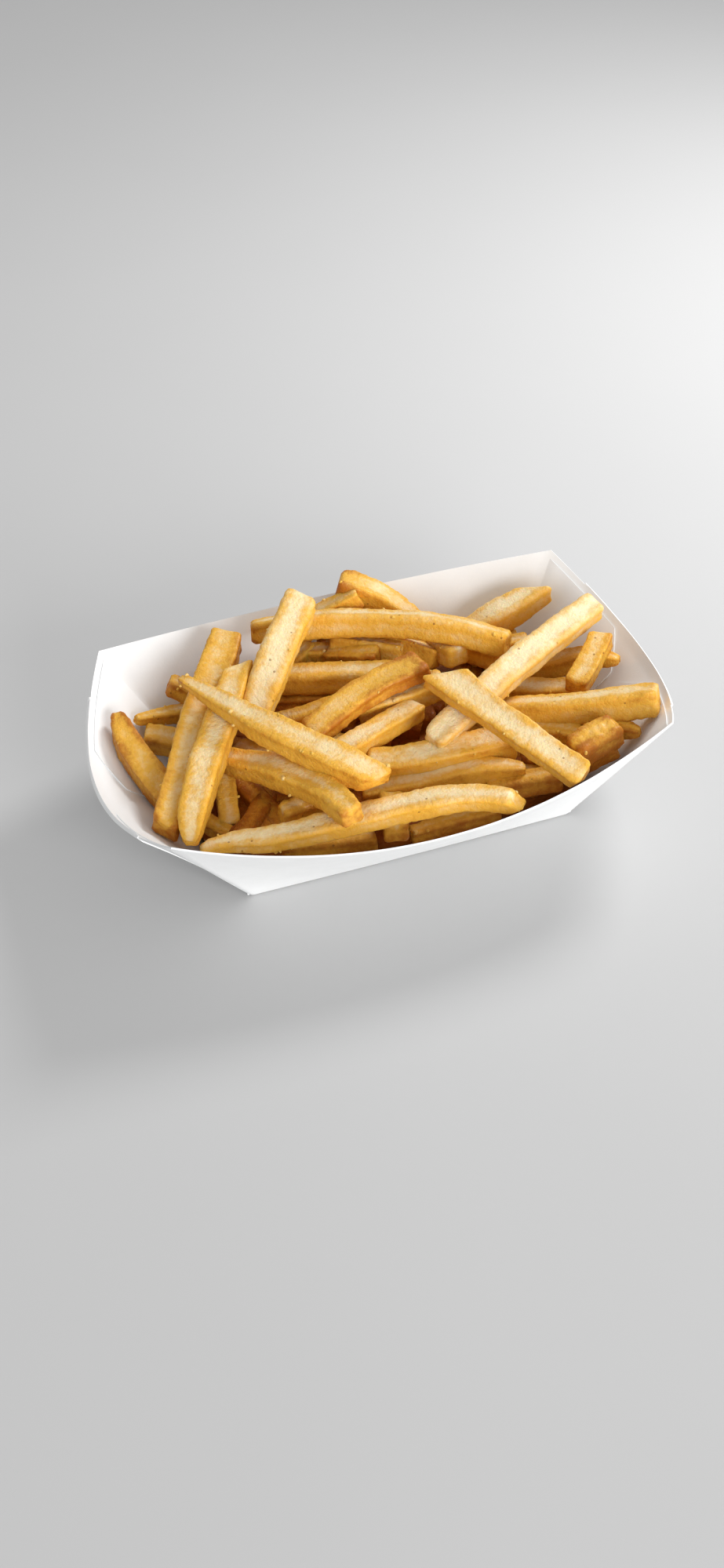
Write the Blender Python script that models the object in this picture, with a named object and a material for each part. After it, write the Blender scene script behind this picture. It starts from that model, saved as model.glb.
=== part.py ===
"""Paperboard food tray filled with thick-cut french fries.

The tray is one folded sheet: a flat base, four panels that lean outwards and a rim that dips
and bulges between four raised corners.  The fries are one heap: a low core with the fries
that show fused on at true size.  Lengths are millimetres, turned into metres on the mesh.
The origin is the middle of the tray's base, on the surface it stands on.  +X runs along the
tray, +Y goes to its far side and +Z is up.
"""

import math
import random
from typing import NamedTuple

import bmesh
import bpy
from mathutils import Vector

MM = 0.001

# Driving dimensions of the tray, outer surface
BASE_HALF_LENGTH = 52.2
BASE_HALF_WIDTH = 30.9
CORNER_X = 77.0
CORNER_Y = 46.8
CORNER_Z = 43.9
END_X = 90.2
END_Z = 31.2
SIDE_Y = 60.7
SIDE_Z = 35.0
BOARD = 0.55

# End panels are glued over the wrapped side flaps: one more board outside, one more inside
PANEL_RISE = 0.6
PANEL_RIM_SHARE = 0.70
PANEL_BASE_SHARE = 0.97
FLAP_BOARD = 0.4
FLAP_LOW_SHARE = 0.06
FLAP_TOP_SHARE = 0.33
FLAP_KNEE = 0.75
FLAP_TOP = 0.955
STEP_SHARE = 0.008
WALL_LEVELS = (0.0, 0.3, 0.6, FLAP_KNEE, 0.87, FLAP_TOP, 0.965, 1.0)
SIDE_STATIONS = 16
PANEL_STATIONS = 5

# The heap's core and the fries
CLEARANCE = 0.65
CORE_STATIONS = 8
CORE_RINGS = ((1.0, 0.0), (8.0, 0.2), (14.0, 0.8), (19.0, 5.0), (22.5, 12.0))
CORE_TOP = 24.0
SMALLEST_END = 0.72
END_ROUNDING = 1.6
CORNER_CUT = 0.30
FILLER_COUNT = 16
FILLER_SEED = 41
FILLER_HEIGHT = 17.5
FILLER_MARGIN = 7.0

TRAY_WHITE = (0.86, 0.86, 0.84, 1.0)
FRY_GOLD = (0.78, 0.50, 0.17, 1.0)


class Fry(NamedTuple):
    """One fry that shows: its section, its centre line and how far each end narrows."""

    name: str
    width: float
    depth: float
    path: tuple
    start: float = 0.9
    end: float = 0.9


# The fries that show, from the left end of the tray to the right, top layer first
FRIES = (
    Fry("left_long", 9.8, 8.8, ((-36, 49.5, 38.5), (-59, 7, 33), (-74, -22, 28.5))),
    Fry("left_pale", 10.4, 9.2, ((-36, 29, 39), (-57, -8, 35), (-68, -31, 29.5)), 0.9, 0.5),
    Fry("left_crossing", 10.6, 9.0, ((-56, 24, 44), (-37, -6, 44), (-10, -37, 40.5)), 0.35, 0.85),
    Fry("centre_leaning", 11.0, 9.0, ((-10.5, 44, 49), (-21.5, 28.5, 43), (-38, 9, 33))),
    Fry("top_level", 10.4, 10.0, ((-27, 48, 36), (4, 38, 39), (30, 27.5, 39), (47.5, 15, 37.5))),
    Fry("back_top", 9.6, 8.8, ((8.5, 54.5, 42), (21, 47, 35.5), (34, 40, 24))),
    Fry("back_small", 7.0, 6.6, ((9.5, 46.5, 43), (-4, 49, 36), (-14, 48.5, 28))),
    Fry("under_top", 7.2, 7.2, ((-4, 42, 29), (17, 30.5, 31.5))),
    Fry("back_rough", 6.8, 6.8, ((4, 41, 20), (15, 38, 23))),
    Fry("centre_left_level", 10.2, 9.6, ((-26, 32.5, 29), (15, 16, 31.5))),
    Fry("centre_diagonal", 11.2, 9.4, ((-24, -4, 34), (-2, 5, 38), (18, 10.5, 40.5))),
    Fry("centre_dark_strip", 7.0, 7.0, ((-30, 31, 21), (-4, 22, 23))),
    Fry("centre_tan", 7.6, 7.4, ((-38, 20, 19), (-10, 12.5, 28))),
    Fry("middle_light", 9.2, 8.8, ((-17, -13, 31), (13, 0, 31.5))),
    Fry("middle_pale", 9.0, 8.6, ((-5, 6, 30), (24, 6, 33.5))),
    Fry("right_crossing", 10.6, 9.2, ((19, -1.5, 44.5), (31.5, -24, 41.5), (45.5, -48.5, 37)), 1.35, 0.9),
    Fry("right_bright", 10.2, 9.2, ((15.5, -17, 33), (48, 3, 36.5), (79.5, 18, 38))),
    Fry("back_right", 10.2, 8.8, ((40, 36, 25), (58, 36, 32), (71, 35.5, 35.5)), 0.9, 0.6),
    Fry("end_on", 9.0, 9.0, ((35.5, 22.5, 30.5), (33, 37, 23))),
    Fry("under_end", 8.0, 7.8, ((38, 30, 21), (58, 27, 25))),
    Fry("far_bit", 6.0, 6.0, ((46, 26, 27), (59, 22.5, 28))),
    Fry("right_upright", 8.6, 8.4, ((78.5, 9.5, 34.5), (62, -8.5, 32))),
    Fry("right_pointed", 7.0, 7.0, ((50, 17, 21), (73, 9, 27.5), (81, 2, 30)), 0.9, 0.45),
    Fry("right_pale", 7.8, 7.8, ((42, 11, 21), (67, -3, 25))),
    Fry("right_level", 9.2, 8.8, ((38, -5, 28.5), (55, -18, 34), (80, -30.5, 40))),
    Fry("right_dark", 7.2, 7.0, ((46, -11, 25), (63, -25, 29.5), (71, -34.5, 33)), 0.9, 0.5),
    Fry("right_rough", 9.8, 9.2, ((49, -38, 33), (65, -34, 35))),
    Fry("right_short", 7.2, 7.2, ((40, -15, 27), (56, -28, 29))),
    Fry("right_near", 6.6, 6.4, ((46, -36, 25), (64, -35.5, 29))),
    Fry("near_middle", 10.0, 9.4, ((-9, -16, 26), (13, -20, 28), (36, -21.5, 28.5))),
    Fry("near_second", 7.8, 7.6, ((-13, -22, 21.5), (3, -25, 23), (21, -27, 25), (35, -28.5, 26.5))),
    Fry("near_long", 10.0, 9.2, ((-61.5, -31.5, 26.5), (-45, -37, 28), (-22, -41.5, 31),
                                 (-1, -44, 33.5), (23.5, -50, 34.5)), 0.75, 0.6),
    Fry("near_left_curved", 9.8, 9.2, ((-50, 0, 28), (-38, -14, 32.5), (-26, -32, 36.5),
                                       (-23, -45.5, 39)), 0.9, 0.5),
    Fry("left_end", 9.6, 8.6, ((-76, 24.5, 34.5), (-75, 14, 29.5), (-69, -4, 23), (-64, -13, 19)),
        0.7, 0.9),
    Fry("left_thin", 6.4, 6.2, ((-71, 27, 29), (-50, 34, 22))),
    Fry("left_stub", 7.2, 7.0, ((-56, 37, 29.5), (-42, 29, 21))),
    Fry("left_low", 7.8, 7.4, ((-64, 20, 21), (-46, 16, 18))),
    Fry("left_upright", 7.2, 7.0, ((-50, 1, 23), (-54, -19, 18.5))),
    Fry("left_deep", 7.8, 7.6, ((-46, 4, 19), (-41, -20, 17))),
    Fry("near_dark_eye", 8.0, 7.8, ((-39.5, -25, 24), (-17, -21, 21))),
    Fry("near_left_bit", 5.8, 5.8, ((-61, -14, 20), (-54, -24, 19))),
    Fry("near_under", 7.4, 7.2, ((-42, -32, 18.5), (-14, -37.5, 18))),
    Fry("near_golden", 8.6, 8.2, ((-9.5, -44.5, 25.5), (-5, -25, 21))),
    Fry("near_wall", 6.0, 5.8, ((-3, -37.5, 15.5), (26, -36.5, 15))),
    Fry("near_right_low", 7.4, 7.2, ((24, -32, 21), (46, -38, 24))),
    Fry("middle_deep", 7.8, 7.6, ((8, 6, 19), (34, 14, 19.5))),
    Fry("middle_bit", 6.8, 6.8, ((21, -9, 22), (40, -2, 22))),
    Fry("back_left_low", 7.0, 7.0, ((-24, 42, 24), (3, 42.5, 24))),
    Fry("back_left_bit", 6.2, 6.2, ((-21, 37, 25), (-8.5, 45, 28))),
)


def clear_scene() -> None:
    """Empties the file, so that the script runs the same in any session."""
    for item in list(bpy.data.objects):
        bpy.data.objects.remove(item, do_unlink=True)
    for group in (bpy.data.meshes, bpy.data.materials):
        for block in list(group):
            group.remove(block)


def plain_material(name: str, colour: tuple, roughness: float) -> bpy.types.Material:
    """A Principled material with one colour and no metal in it."""
    material = bpy.data.materials.new(name)
    material.use_nodes = True
    shader = material.node_tree.nodes["Principled BSDF"]
    shader.inputs["Base Color"].default_value = colour
    shader.inputs["Roughness"].default_value = roughness
    shader.inputs["Metallic"].default_value = 0.0
    return material


def add_object(name: str, bm: bmesh.types.BMesh, material: bpy.types.Material) -> bpy.types.Object:
    """Makes an object from a bmesh in millimetres and frees the bmesh."""
    bmesh.ops.scale(bm, vec=(MM, MM, MM), verts=bm.verts)
    bmesh.ops.recalc_face_normals(bm, faces=bm.faces)
    mesh = bpy.data.meshes.new(name)
    bm.to_mesh(mesh)
    bm.free()
    mesh.materials.append(material)
    item = bpy.data.objects.new(name, mesh)
    bpy.context.scene.collection.objects.link(item)
    return item


def side_point(t: float, level: float, sign: float) -> Vector:
    """A point of a long panel: t runs -1 to 1 along it, level 0 at the base to 1 at the rim."""
    foot = Vector((t * BASE_HALF_LENGTH, BASE_HALF_WIDTH, 0.0))
    rim = Vector((t * CORNER_X,
                  SIDE_Y - (SIDE_Y - CORNER_Y) * t * t,
                  SIDE_Z + (CORNER_Z - SIDE_Z) * t * t))
    point = foot.lerp(rim, level)
    point.y *= sign
    return point


def end_point(t: float, level: float, sign: float) -> Vector:
    """A point of an end panel: t runs -1 to 1 across it, level 0 at the base to 1 at the rim."""
    foot = Vector((BASE_HALF_LENGTH, t * BASE_HALF_WIDTH, 0.0))
    rim = Vector((END_X - (END_X - CORNER_X) * t * t,
                  t * CORNER_Y,
                  END_Z + (CORNER_Z - END_Z) * t * t))
    point = foot.lerp(rim, level)
    point.x *= sign
    return point


def outward(surface, t: float, level: float, sign: float) -> Vector:
    """The outward direction of a panel at a point, from two short steps along its surface."""
    step = 0.01
    t0, t1 = max(t - step, -1.0), min(t + step, 1.0)
    along = surface(t1, level, sign) - surface(t0, level, sign)
    up = surface(t, 1.0, sign) - surface(t, 0.0, sign)
    normal = along.cross(up).normalized()
    return normal if normal.dot(Vector((up.x, up.y, 0.0))) > 0 else -normal


def flap_edge_share(level: float) -> float:
    """Where a flap's cut edge is: straight up to the knee, then slanting away from the middle."""
    slant = (FLAP_TOP_SHARE - FLAP_LOW_SHARE) / (FLAP_TOP - FLAP_KNEE)
    return FLAP_LOW_SHARE + slant * max(level - FLAP_KNEE, 0.0)


def panel_edge_share(level: float) -> float:
    """Where the outer panel's side edge is: the whole width at the base, less at the rim."""
    return PANEL_BASE_SHARE + (PANEL_RIM_SHARE - PANEL_BASE_SHARE) * level


def straight_share(share: float):
    """A line that keeps its place across the panel at every level."""
    return lambda level: share


def between(low, high, part: float):
    """A line part of the way from one line to another."""
    return lambda level: low(level) + (high(level) - low(level)) * part


def beside(line, distance: float):
    """A line next to another one."""
    return lambda level: line(level) + distance


class Station(NamedTuple):
    """One line of the wall from base to rim, with the extra board on its two faces."""

    surface: object
    sign: float
    turn: float
    line: object
    panel: float
    flap: bool

    def share(self, level: float) -> float:
        """Where across its panel the line is at a level."""
        return self.turn * self.line(level)

    def point(self, level: float) -> Vector:
        return self.surface(self.share(level), level, self.sign)

    def normal(self, level: float) -> Vector:
        return outward(self.surface, self.share(level), level, self.sign)


def half_end_lines() -> list:
    """Lines from next to the middle of an end panel to its corner: line, outer panel, flap.

    The outer panel covers the middle.  The flap inside it starts at the corner, and a bare
    gap is left between the cut edges of the two flaps.
    """
    inner_edge = beside(flap_edge_share, STEP_SHARE)
    outer_edge = beside(panel_edge_share, STEP_SHARE)
    corner = straight_share(1.0)
    lines = [(between(straight_share(0.0), flap_edge_share, part), 1.0, False)
             for part in (0.35, 0.7, 1.0)]
    lines.append((inner_edge, 1.0, True))
    for index in range(1, PANEL_STATIONS):
        lines.append((between(inner_edge, panel_edge_share, index / PANEL_STATIONS), 1.0, True))
    lines.append((panel_edge_share, 1.0, True))
    lines.append((outer_edge, 0.0, True))
    for part in (0.3, 0.6, 0.85):
        lines.append((between(outer_edge, corner, part), 0.0, True))
    return lines


def end_stations(sign: float) -> list:
    """All lines of one end panel, in order round the tray."""
    half = half_end_lines()
    first = [Station(end_point, sign, -sign, line, panel, flap) for line, panel, flap in reversed(half)]
    second = [Station(end_point, sign, sign, line, panel, flap) for line, panel, flap in half]
    middle = Station(end_point, sign, sign, straight_share(0.0), 1.0, False)
    return first + [middle] + second


def side_stations(sign: float) -> list:
    """All lines of one long panel, in order round the tray."""
    shares = [-1.0 + 2.0 * index / SIDE_STATIONS for index in range(1, SIDE_STATIONS)]
    return [Station(side_point, sign, -sign, straight_share(t), 0.0, False) for t in shares]


def wall_loop() -> list:
    """Every line of the wall in order round the tray, with a pair of signs for each corner."""
    return ([(1.0, -1.0)] + end_stations(1.0) + [(1.0, 1.0)] + side_stations(1.0)
            + [(-1.0, 1.0)] + end_stations(-1.0) + [(-1.0, -1.0)] + side_stations(-1.0))


def offset_pair(station, level: float) -> tuple:
    """The outer and inner points of the wall on one line, at one level."""
    if not isinstance(station, Station):
        sign_x, sign_y = station
        point = end_point(sign_y, level, sign_x)
        from_end = outward(end_point, sign_y, level, sign_x)
        from_side = outward(side_point, sign_x, level, sign_y)
        mitre = (from_end + from_side).normalized()
        reach = BOARD / max(mitre.dot(from_end), 0.5)
        return point, point - mitre * reach
    point = station.point(level)
    normal = station.normal(level)
    outer = point + normal * BOARD * station.panel * min(level / WALL_LEVELS[1], 1.0)
    inner_board = FLAP_BOARD if station.flap and level <= FLAP_TOP else 0.0
    inner = point - normal * (BOARD + inner_board)
    if level == 1.0:
        rise = PANEL_RISE * station.panel
        outer.z += rise
        inner.z += rise
    return outer, inner


def build_tray(material: bpy.types.Material) -> bpy.types.Object:
    """The folded tray as one thin closed shell with its glued end panels and flaps in relief."""
    loop = wall_loop()
    bm = bmesh.new()
    outer_rings, inner_rings = [], []
    for level in WALL_LEVELS:
        pairs = [offset_pair(station, level) for station in loop]
        outer_rings.append([bm.verts.new(outer) for outer, _ in pairs])
        inner_rings.append([bm.verts.new(inner) for _, inner in pairs])
    for vert in outer_rings[0]:
        vert.co.z = 0.0
    for vert in inner_rings[0]:
        vert.co.z = BOARD
    count = len(loop)
    for index in range(count):
        after = (index + 1) % count
        for low, high in zip(outer_rings, outer_rings[1:]):
            bm.faces.new((low[index], low[after], high[after], high[index]))
        for low, high in zip(inner_rings, inner_rings[1:]):
            bm.faces.new((low[after], low[index], high[index], high[after]))
        bm.faces.new((outer_rings[-1][index], outer_rings[-1][after],
                      inner_rings[-1][after], inner_rings[-1][index]))
    bm.faces.new(list(reversed(outer_rings[0])))
    bm.faces.new(inner_rings[0])
    return add_object("tray", bm, material)


def inner_outline(height: float, inset: float) -> list:
    """The tray's inside at a height, as points round it, drawn in level by an inset."""
    outline = []
    for surface, sign, rim_z in ((end_point, 1.0, END_Z), (side_point, 1.0, SIDE_Z),
                                 (end_point, -1.0, END_Z), (side_point, -1.0, SIDE_Z)):
        way = sign if surface is end_point else -sign
        for index in range(CORE_STATIONS):
            t = way * (-1.0 + 2.0 * (index + 0.5) / CORE_STATIONS)
            level = height / (rim_z + (CORNER_Z - rim_z) * t * t)
            point = surface(t, level, sign)
            away = outward(surface, t, level, sign)
            flat = Vector((away.x, away.y, 0.0))
            outline.append(point - flat.normalized() * (inset / flat.length))
    return [Vector((point.x, point.y, height)) for point in outline]


def build_core(material: bpy.types.Material) -> bpy.types.Object:
    """The low mound that carries the fries."""
    bm = bmesh.new()
    wall = BOARD + FLAP_BOARD + CLEARANCE
    rings = [[bm.verts.new(point) for point in inner_outline(height, wall + inset)]
             for height, inset in CORE_RINGS]
    count = len(rings[0])
    for low, high in zip(rings, rings[1:]):
        for index in range(count):
            after = (index + 1) % count
            bm.faces.new((low[index], low[after], high[after], high[index]))
    top = bm.verts.new((0.0, 0.0, CORE_TOP))
    for index in range(count):
        bm.faces.new((rings[-1][index], rings[-1][(index + 1) % count], top))
    bm.faces.new(list(reversed(rings[0])))
    return add_object("fries", bm, material)


def fry_rings(fry: Fry) -> list:
    """Centre, size factor and direction of each ring along a fry, with its ends rounded off."""
    points = [Vector(point) for point in fry.path]
    lengths = [(b - a).length for a, b in zip(points, points[1:])]
    total = sum(lengths)
    rings = []
    travelled = 0.0
    for index, point in enumerate(points):
        if index > 0:
            travelled += lengths[index - 1]
        before = points[max(index - 1, 0)]
        after = points[min(index + 1, len(points) - 1)]
        share = travelled / total
        narrowing = min(1.0, fry.start + (1.0 - fry.start) * share * 3.0)
        narrowing = min(narrowing, fry.end + (1.0 - fry.end) * (1.0 - share) * 3.0)
        if fry.start > 1.0:
            narrowing = max(narrowing, 1.0 + (fry.start - 1.0) * (1.0 - 2.0 * share))
        rings.append((point, narrowing, (after - before).normalized()))
    first, last = rings[0], rings[-1]
    start_inner = (first[0] + first[2] * END_ROUNDING, first[1], first[2])
    end_inner = (last[0] - last[2] * END_ROUNDING, last[1], last[2])
    start_cap = (first[0], first[1] * SMALLEST_END, first[2])
    end_cap = (last[0], last[1] * SMALLEST_END, last[2])
    return [start_cap, start_inner] + rings[1:-1] + [end_inner, end_cap]


def section(width: float, depth: float) -> list:
    """A rectangle with its four edges cut off, as pairs across and up."""
    half_width, half_depth = width / 2.0, depth / 2.0
    cut = CORNER_CUT * min(width, depth) / 2.0
    return [(half_width, -half_depth + cut), (half_width, half_depth - cut),
            (half_width - cut, half_depth), (-half_width + cut, half_depth),
            (-half_width, half_depth - cut), (-half_width, -half_depth + cut),
            (-half_width + cut, -half_depth), (half_width - cut, -half_depth)]


def build_fry(fry: Fry, material: bpy.types.Material) -> bpy.types.Object:
    """One fry, its flat faces level across and its section carried along the centre line."""
    bm = bmesh.new()
    outline = section(fry.width, fry.depth)
    loops = []
    for centre, factor, direction in fry_rings(fry):
        across = direction.cross(Vector((0.0, 0.0, 1.0))).normalized()
        up = across.cross(direction).normalized()
        loops.append([bm.verts.new(centre + (across * a + up * b) * factor) for a, b in outline])
    for low, high in zip(loops, loops[1:]):
        for index in range(len(outline)):
            after = (index + 1) % len(outline)
            bm.faces.new((low[index], low[after], high[after], high[index]))
    bm.faces.new(list(reversed(loops[0])))
    bm.faces.new(loops[-1])
    return add_object(fry.name, bm, material)


def filler_fries() -> list:
    """Low fries spread over the core by a seeded draw, each kept clear of the walls."""
    draw = random.Random(FILLER_SEED)
    half_x = BASE_HALF_LENGTH + (CORNER_X - BASE_HALF_LENGTH) * FILLER_HEIGHT / CORNER_Z - FILLER_MARGIN
    half_y = BASE_HALF_WIDTH + (CORNER_Y - BASE_HALF_WIDTH) * FILLER_HEIGHT / CORNER_Z - FILLER_MARGIN
    fillers = []
    for index in range(FILLER_COUNT):
        column, row = index % 8, index // 8
        centre_x = half_x * (-0.85 + 1.7 * column / 7.0)
        centre_y = half_y * (-0.62 + 1.24 * row) + draw.uniform(-3.0, 3.0)
        heading = draw.uniform(0.0, math.pi)
        half_length = draw.uniform(15.0, 24.0)
        ends = []
        for way in (-1.0, 1.0):
            x = centre_x + way * half_length * math.cos(heading)
            y = centre_y + way * half_length * math.sin(heading)
            ends.append((max(-half_x, min(half_x, x)), max(-half_y, min(half_y, y)),
                         FILLER_HEIGHT + draw.uniform(-1.0, 3.0)))
        fillers.append(Fry(f"filler_{index:02d}", draw.uniform(7.0, 8.6), draw.uniform(6.6, 8.0),
                           tuple(ends)))
    return fillers


def keep_outer_body(item: bpy.types.Object) -> None:
    """Keeps the largest closed skin: loose scraps go and sealed hollows fill."""
    bm = bmesh.new()
    bm.from_mesh(item.data)
    unseen = set(bm.faces)
    bodies = []
    while unseen:
        stack = [unseen.pop()]
        body = list(stack)
        while stack:
            face = stack.pop()
            for edge in face.edges:
                for other in edge.link_faces:
                    if other in unseen:
                        unseen.remove(other)
                        stack.append(other)
                        body.append(other)
        bodies.append(body)
    bodies.sort(key=len)
    bmesh.ops.delete(bm, geom=[face for body in bodies[:-1] for face in body], context="FACES")
    loose = [vert for vert in bm.verts if not vert.link_faces]
    bmesh.ops.delete(bm, geom=loose, context="VERTS")
    bm.to_mesh(item.data)
    bm.free()


def build_fries(material: bpy.types.Material) -> bpy.types.Object:
    """The heap: every fry joined to the core by one union."""
    heap = build_core(material)
    pieces = bpy.data.collections.new("heap_pieces")
    bpy.context.scene.collection.children.link(pieces)
    for fry in list(FRIES) + filler_fries():
        piece = build_fry(fry, material)
        bpy.context.scene.collection.objects.unlink(piece)
        pieces.objects.link(piece)
    union = heap.modifiers.new("join_fries", "BOOLEAN")
    union.operation = "UNION"
    union.solver = "EXACT"
    union.operand_type = "COLLECTION"
    union.collection = pieces
    bpy.context.view_layer.objects.active = heap
    bpy.ops.object.modifier_apply(modifier=union.name)
    for piece in list(pieces.objects):
        bpy.data.objects.remove(piece, do_unlink=True)
    bpy.data.collections.remove(pieces)
    keep_outer_body(heap)
    return heap


def main() -> None:
    clear_scene()
    build_tray(plain_material("white_paperboard", TRAY_WHITE, 0.6))
    build_fries(plain_material("fried_potato", FRY_GOLD, 0.5))


main()
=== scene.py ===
import logging
import math
import random
from dataclasses import dataclass
from enum import Enum
from typing import Callable, NamedTuple

import bpy
import numpy as np
from mathutils import Matrix, Vector, noise


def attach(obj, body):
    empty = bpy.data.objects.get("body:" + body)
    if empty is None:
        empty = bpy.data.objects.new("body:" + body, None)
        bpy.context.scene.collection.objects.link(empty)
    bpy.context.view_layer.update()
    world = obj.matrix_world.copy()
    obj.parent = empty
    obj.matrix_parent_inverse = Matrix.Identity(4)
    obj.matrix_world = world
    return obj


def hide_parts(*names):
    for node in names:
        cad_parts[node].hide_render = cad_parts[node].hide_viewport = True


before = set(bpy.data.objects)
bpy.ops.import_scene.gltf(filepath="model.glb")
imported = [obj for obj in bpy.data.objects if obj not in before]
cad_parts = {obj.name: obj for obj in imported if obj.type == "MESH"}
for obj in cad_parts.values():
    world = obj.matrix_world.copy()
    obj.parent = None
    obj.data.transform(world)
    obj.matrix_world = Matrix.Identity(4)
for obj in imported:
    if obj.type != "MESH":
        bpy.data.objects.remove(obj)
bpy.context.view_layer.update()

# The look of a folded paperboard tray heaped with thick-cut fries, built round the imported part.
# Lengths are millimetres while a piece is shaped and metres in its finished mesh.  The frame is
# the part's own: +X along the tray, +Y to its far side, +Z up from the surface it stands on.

MM = 0.001
MERGE_LENGTH = 2e-6
log = logging.getLogger("fries")


class Slot(Enum):
    """The record's material slots."""

    BOARD = "white_paperboard"
    POTATO = "fried_potato"


class Fry(NamedTuple):
    """One fry: section, centre line and doneness, then what sets it apart from a plain stick.

    girth scales the section at each point of the path.  roll turns the flat faces, in degrees.
    tips are the lengths over which the two ends round off.  cuts lean the two end faces, across
    and up.  blister roughens the skin along the whole fry and at its far end.  scorch is how far
    the two ends have browned.
    """

    name: str
    width: float
    depth: float
    path: tuple
    tone: float = 0.4
    girth: tuple = ()
    roll: float = 0.0
    tips: tuple = (1.4, 1.4)
    cuts: tuple = (0.0, 0.0, 0.0, 0.0)
    blister: tuple = (0.0, 0.0)
    scorch: tuple = (0.35, 0.35)


class Wave(NamedTuple):
    """One noise of an uneven surface: its wavelength, its height and which noise it is."""

    length: float
    height: float
    seed: float


# The long fries that show, from the left end of the tray to the right
LONG_FRIES = (
    Fry("left_long", 9.6, 8.2,
        ((-35.2, 46.5, 38.5), (-43.5, 32, 36.6), (-58.8, 7, 33), (-74.3, -22.5, 28)),
        0.72, (1.04, 1.12, 0.95, 0.88), 6.0, (2.0, 1.6), (0.0, 0.0, -0.35, 0.0), scorch=(0.4, 0.75)),
    Fry("left_pale", 10.2, 8.2, ((-36.5, 28, 39), (-56, -5, 35.2), (-65, -21.5, 31.5), (-68.5, -31.5, 29)),
        0.38, (0.85, 1.0, 0.86, 0.48), -4.0, (1.4, 3.0), (0.7, 0.0, 0.0, 0.0), scorch=(0.1, 0.45)),
    Fry("left_crossing", 10.0, 8.0,
        ((-56, 24.5, 44), (-37.5, -6, 44), (-21.5, -26, 42), (-12, -36, 39.5)),
        0.42, (0.32, 0.92, 1.0, 0.86), -8.0, (4.0, 3.0), (0.0, 0.0, -0.7, 0.2), scorch=(0.9, 0.5)),
    Fry("centre_leaning", 11.0, 8.0, ((-10.3, 44, 49), (-23.5, 27.5, 43), (-38.5, 9, 33)), 0.05,
        (0.97, 1.0, 0.92), 8.0, scorch=(0.1, 0.3)),
    Fry("top_level", 8.2, 8.2, ((-27, 48.5, 36.5), (-7.5, 43, 38.5), (16, 33.5, 39.5), (34, 23.5, 39),
                                (48, 12.5, 37.5)), 0.2, (0.86, 1.0, 1.0, 1.02, 0.95), 20.0, (2.4, 1.6),
        scorch=(0.9, 0.6)),
    Fry("centre_left_level", 10.0, 8.6, ((-26, 32.5, 28.5), (15, 16, 31)), 0.4),
    Fry("centre_diagonal", 10.0, 5.8, ((-23.5, -3.5, 34), (-2.5, 6, 38), (18, 9.5, 40.5)), 0.95,
        (0.9, 1.0, 1.02), -6.0, (1.4, 2.0), blister=(0.1, 1.0), scorch=(0.3, 1.4)),
    Fry("middle_light", 8.2, 6.4, ((-16.5, -12, 31), (13, 0, 31.5)), 0.2, tips=(1.4, 2.6)),
    Fry("middle_pale", 9.0, 8.2, ((-5, 6, 30), (24, 6, 33.5)), 0.15),
    Fry("right_crossing", 9.0, 5.8, ((20.5, -3.5, 44.5), (30.5, -24, 41.5), (46.5, -52, 36.5)), 0.2,
        (1.28, 1.0, 0.98), -14.0, (0.5, 2.0), (-0.95, 0.1, 0.2, 0.0), scorch=(0.2, 0.3)),
    Fry("right_bright", 9.8, 7.4, ((11.0, -18.7, 33.3), (47.5, 2.2, 37.2), (81.5, 20, 39)), -0.3,
        (0.86, 1.0, 0.9), -8.0, (4.0, 1.2), scorch=(0.0, 0.1)),
    Fry("back_right", 10.2, 8.6, ((39.5, 34, 26), (56, 33.5, 32.5), (66.5, 35, 36.5)), -0.1,
        (0.9, 1.0, 0.86), tips=(1.4, 1.4), cuts=(0.0, 0.0, 1.3, 0.3), scorch=(0.3, 0.35)),
    Fry("right_level", 9.2, 8.6, ((37.5, -6.5, 27.8), (55, -18.5, 33.2), (80.5, -30, 38.8)), 0.4,
        (0.88, 0.98, 1.0), 14.0, blister=(0.06, 0.9), scorch=(0.3, 0.3)),
    Fry("near_middle", 10.0, 9.0, ((-9, -16, 26), (13, -20, 28), (36, -21.5, 28.5)), 0.35),
    Fry("near_second", 7.8, 7.6, ((-13, -22, 21.5), (3, -25, 23), (21, -27, 25), (36, -33, 26.5)), 0.4,
        (0.9, 1.0, 1.0, 0.6), tips=(1.4, 6.0)),
    Fry("near_long", 8.8, 5.8, ((-66, -32, 26), (-56, -33.5, 27), (-45, -37, 28), (-21.5, -40.5, 31),
                                 (-0.5, -43.5, 33.5), (12.5, -46.5, 34.3), (25, -53, 34.5)), 0.02,
        (0.4, 0.7, 0.88, 0.98, 1.0, 0.94, 0.8), roll=6.0, tips=(4.0, 1.4), cuts=(0.0, 0.0, -0.2, -1.0)),
    Fry("near_left_curved", 8.6, 7.6, ((-49.5, 1, 28), (-38, -13.5, 32.5), (-27, -32.5, 36.5),
                                       (-23.5, -47, 39)), 0.4, (0.9, 1.0, 1.04, 0.86), tips=(1.4, 1.8),
        scorch=(0.3, 0.6)),
    # left_end's high tone makes it dark brown as painted shade, for the light that its left-facing top
    # misses.
    Fry("left_end", 9.2, 7.6, ((-77, 26, 34.8), (-75.8, 14, 29.5), (-69.6, -4, 23), (-64, -13, 19)), 1.0,
        (0.55, 0.9, 1.0, 0.9), tips=(5.0, 1.4), scorch=(0.9, 0.3)),
)

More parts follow.
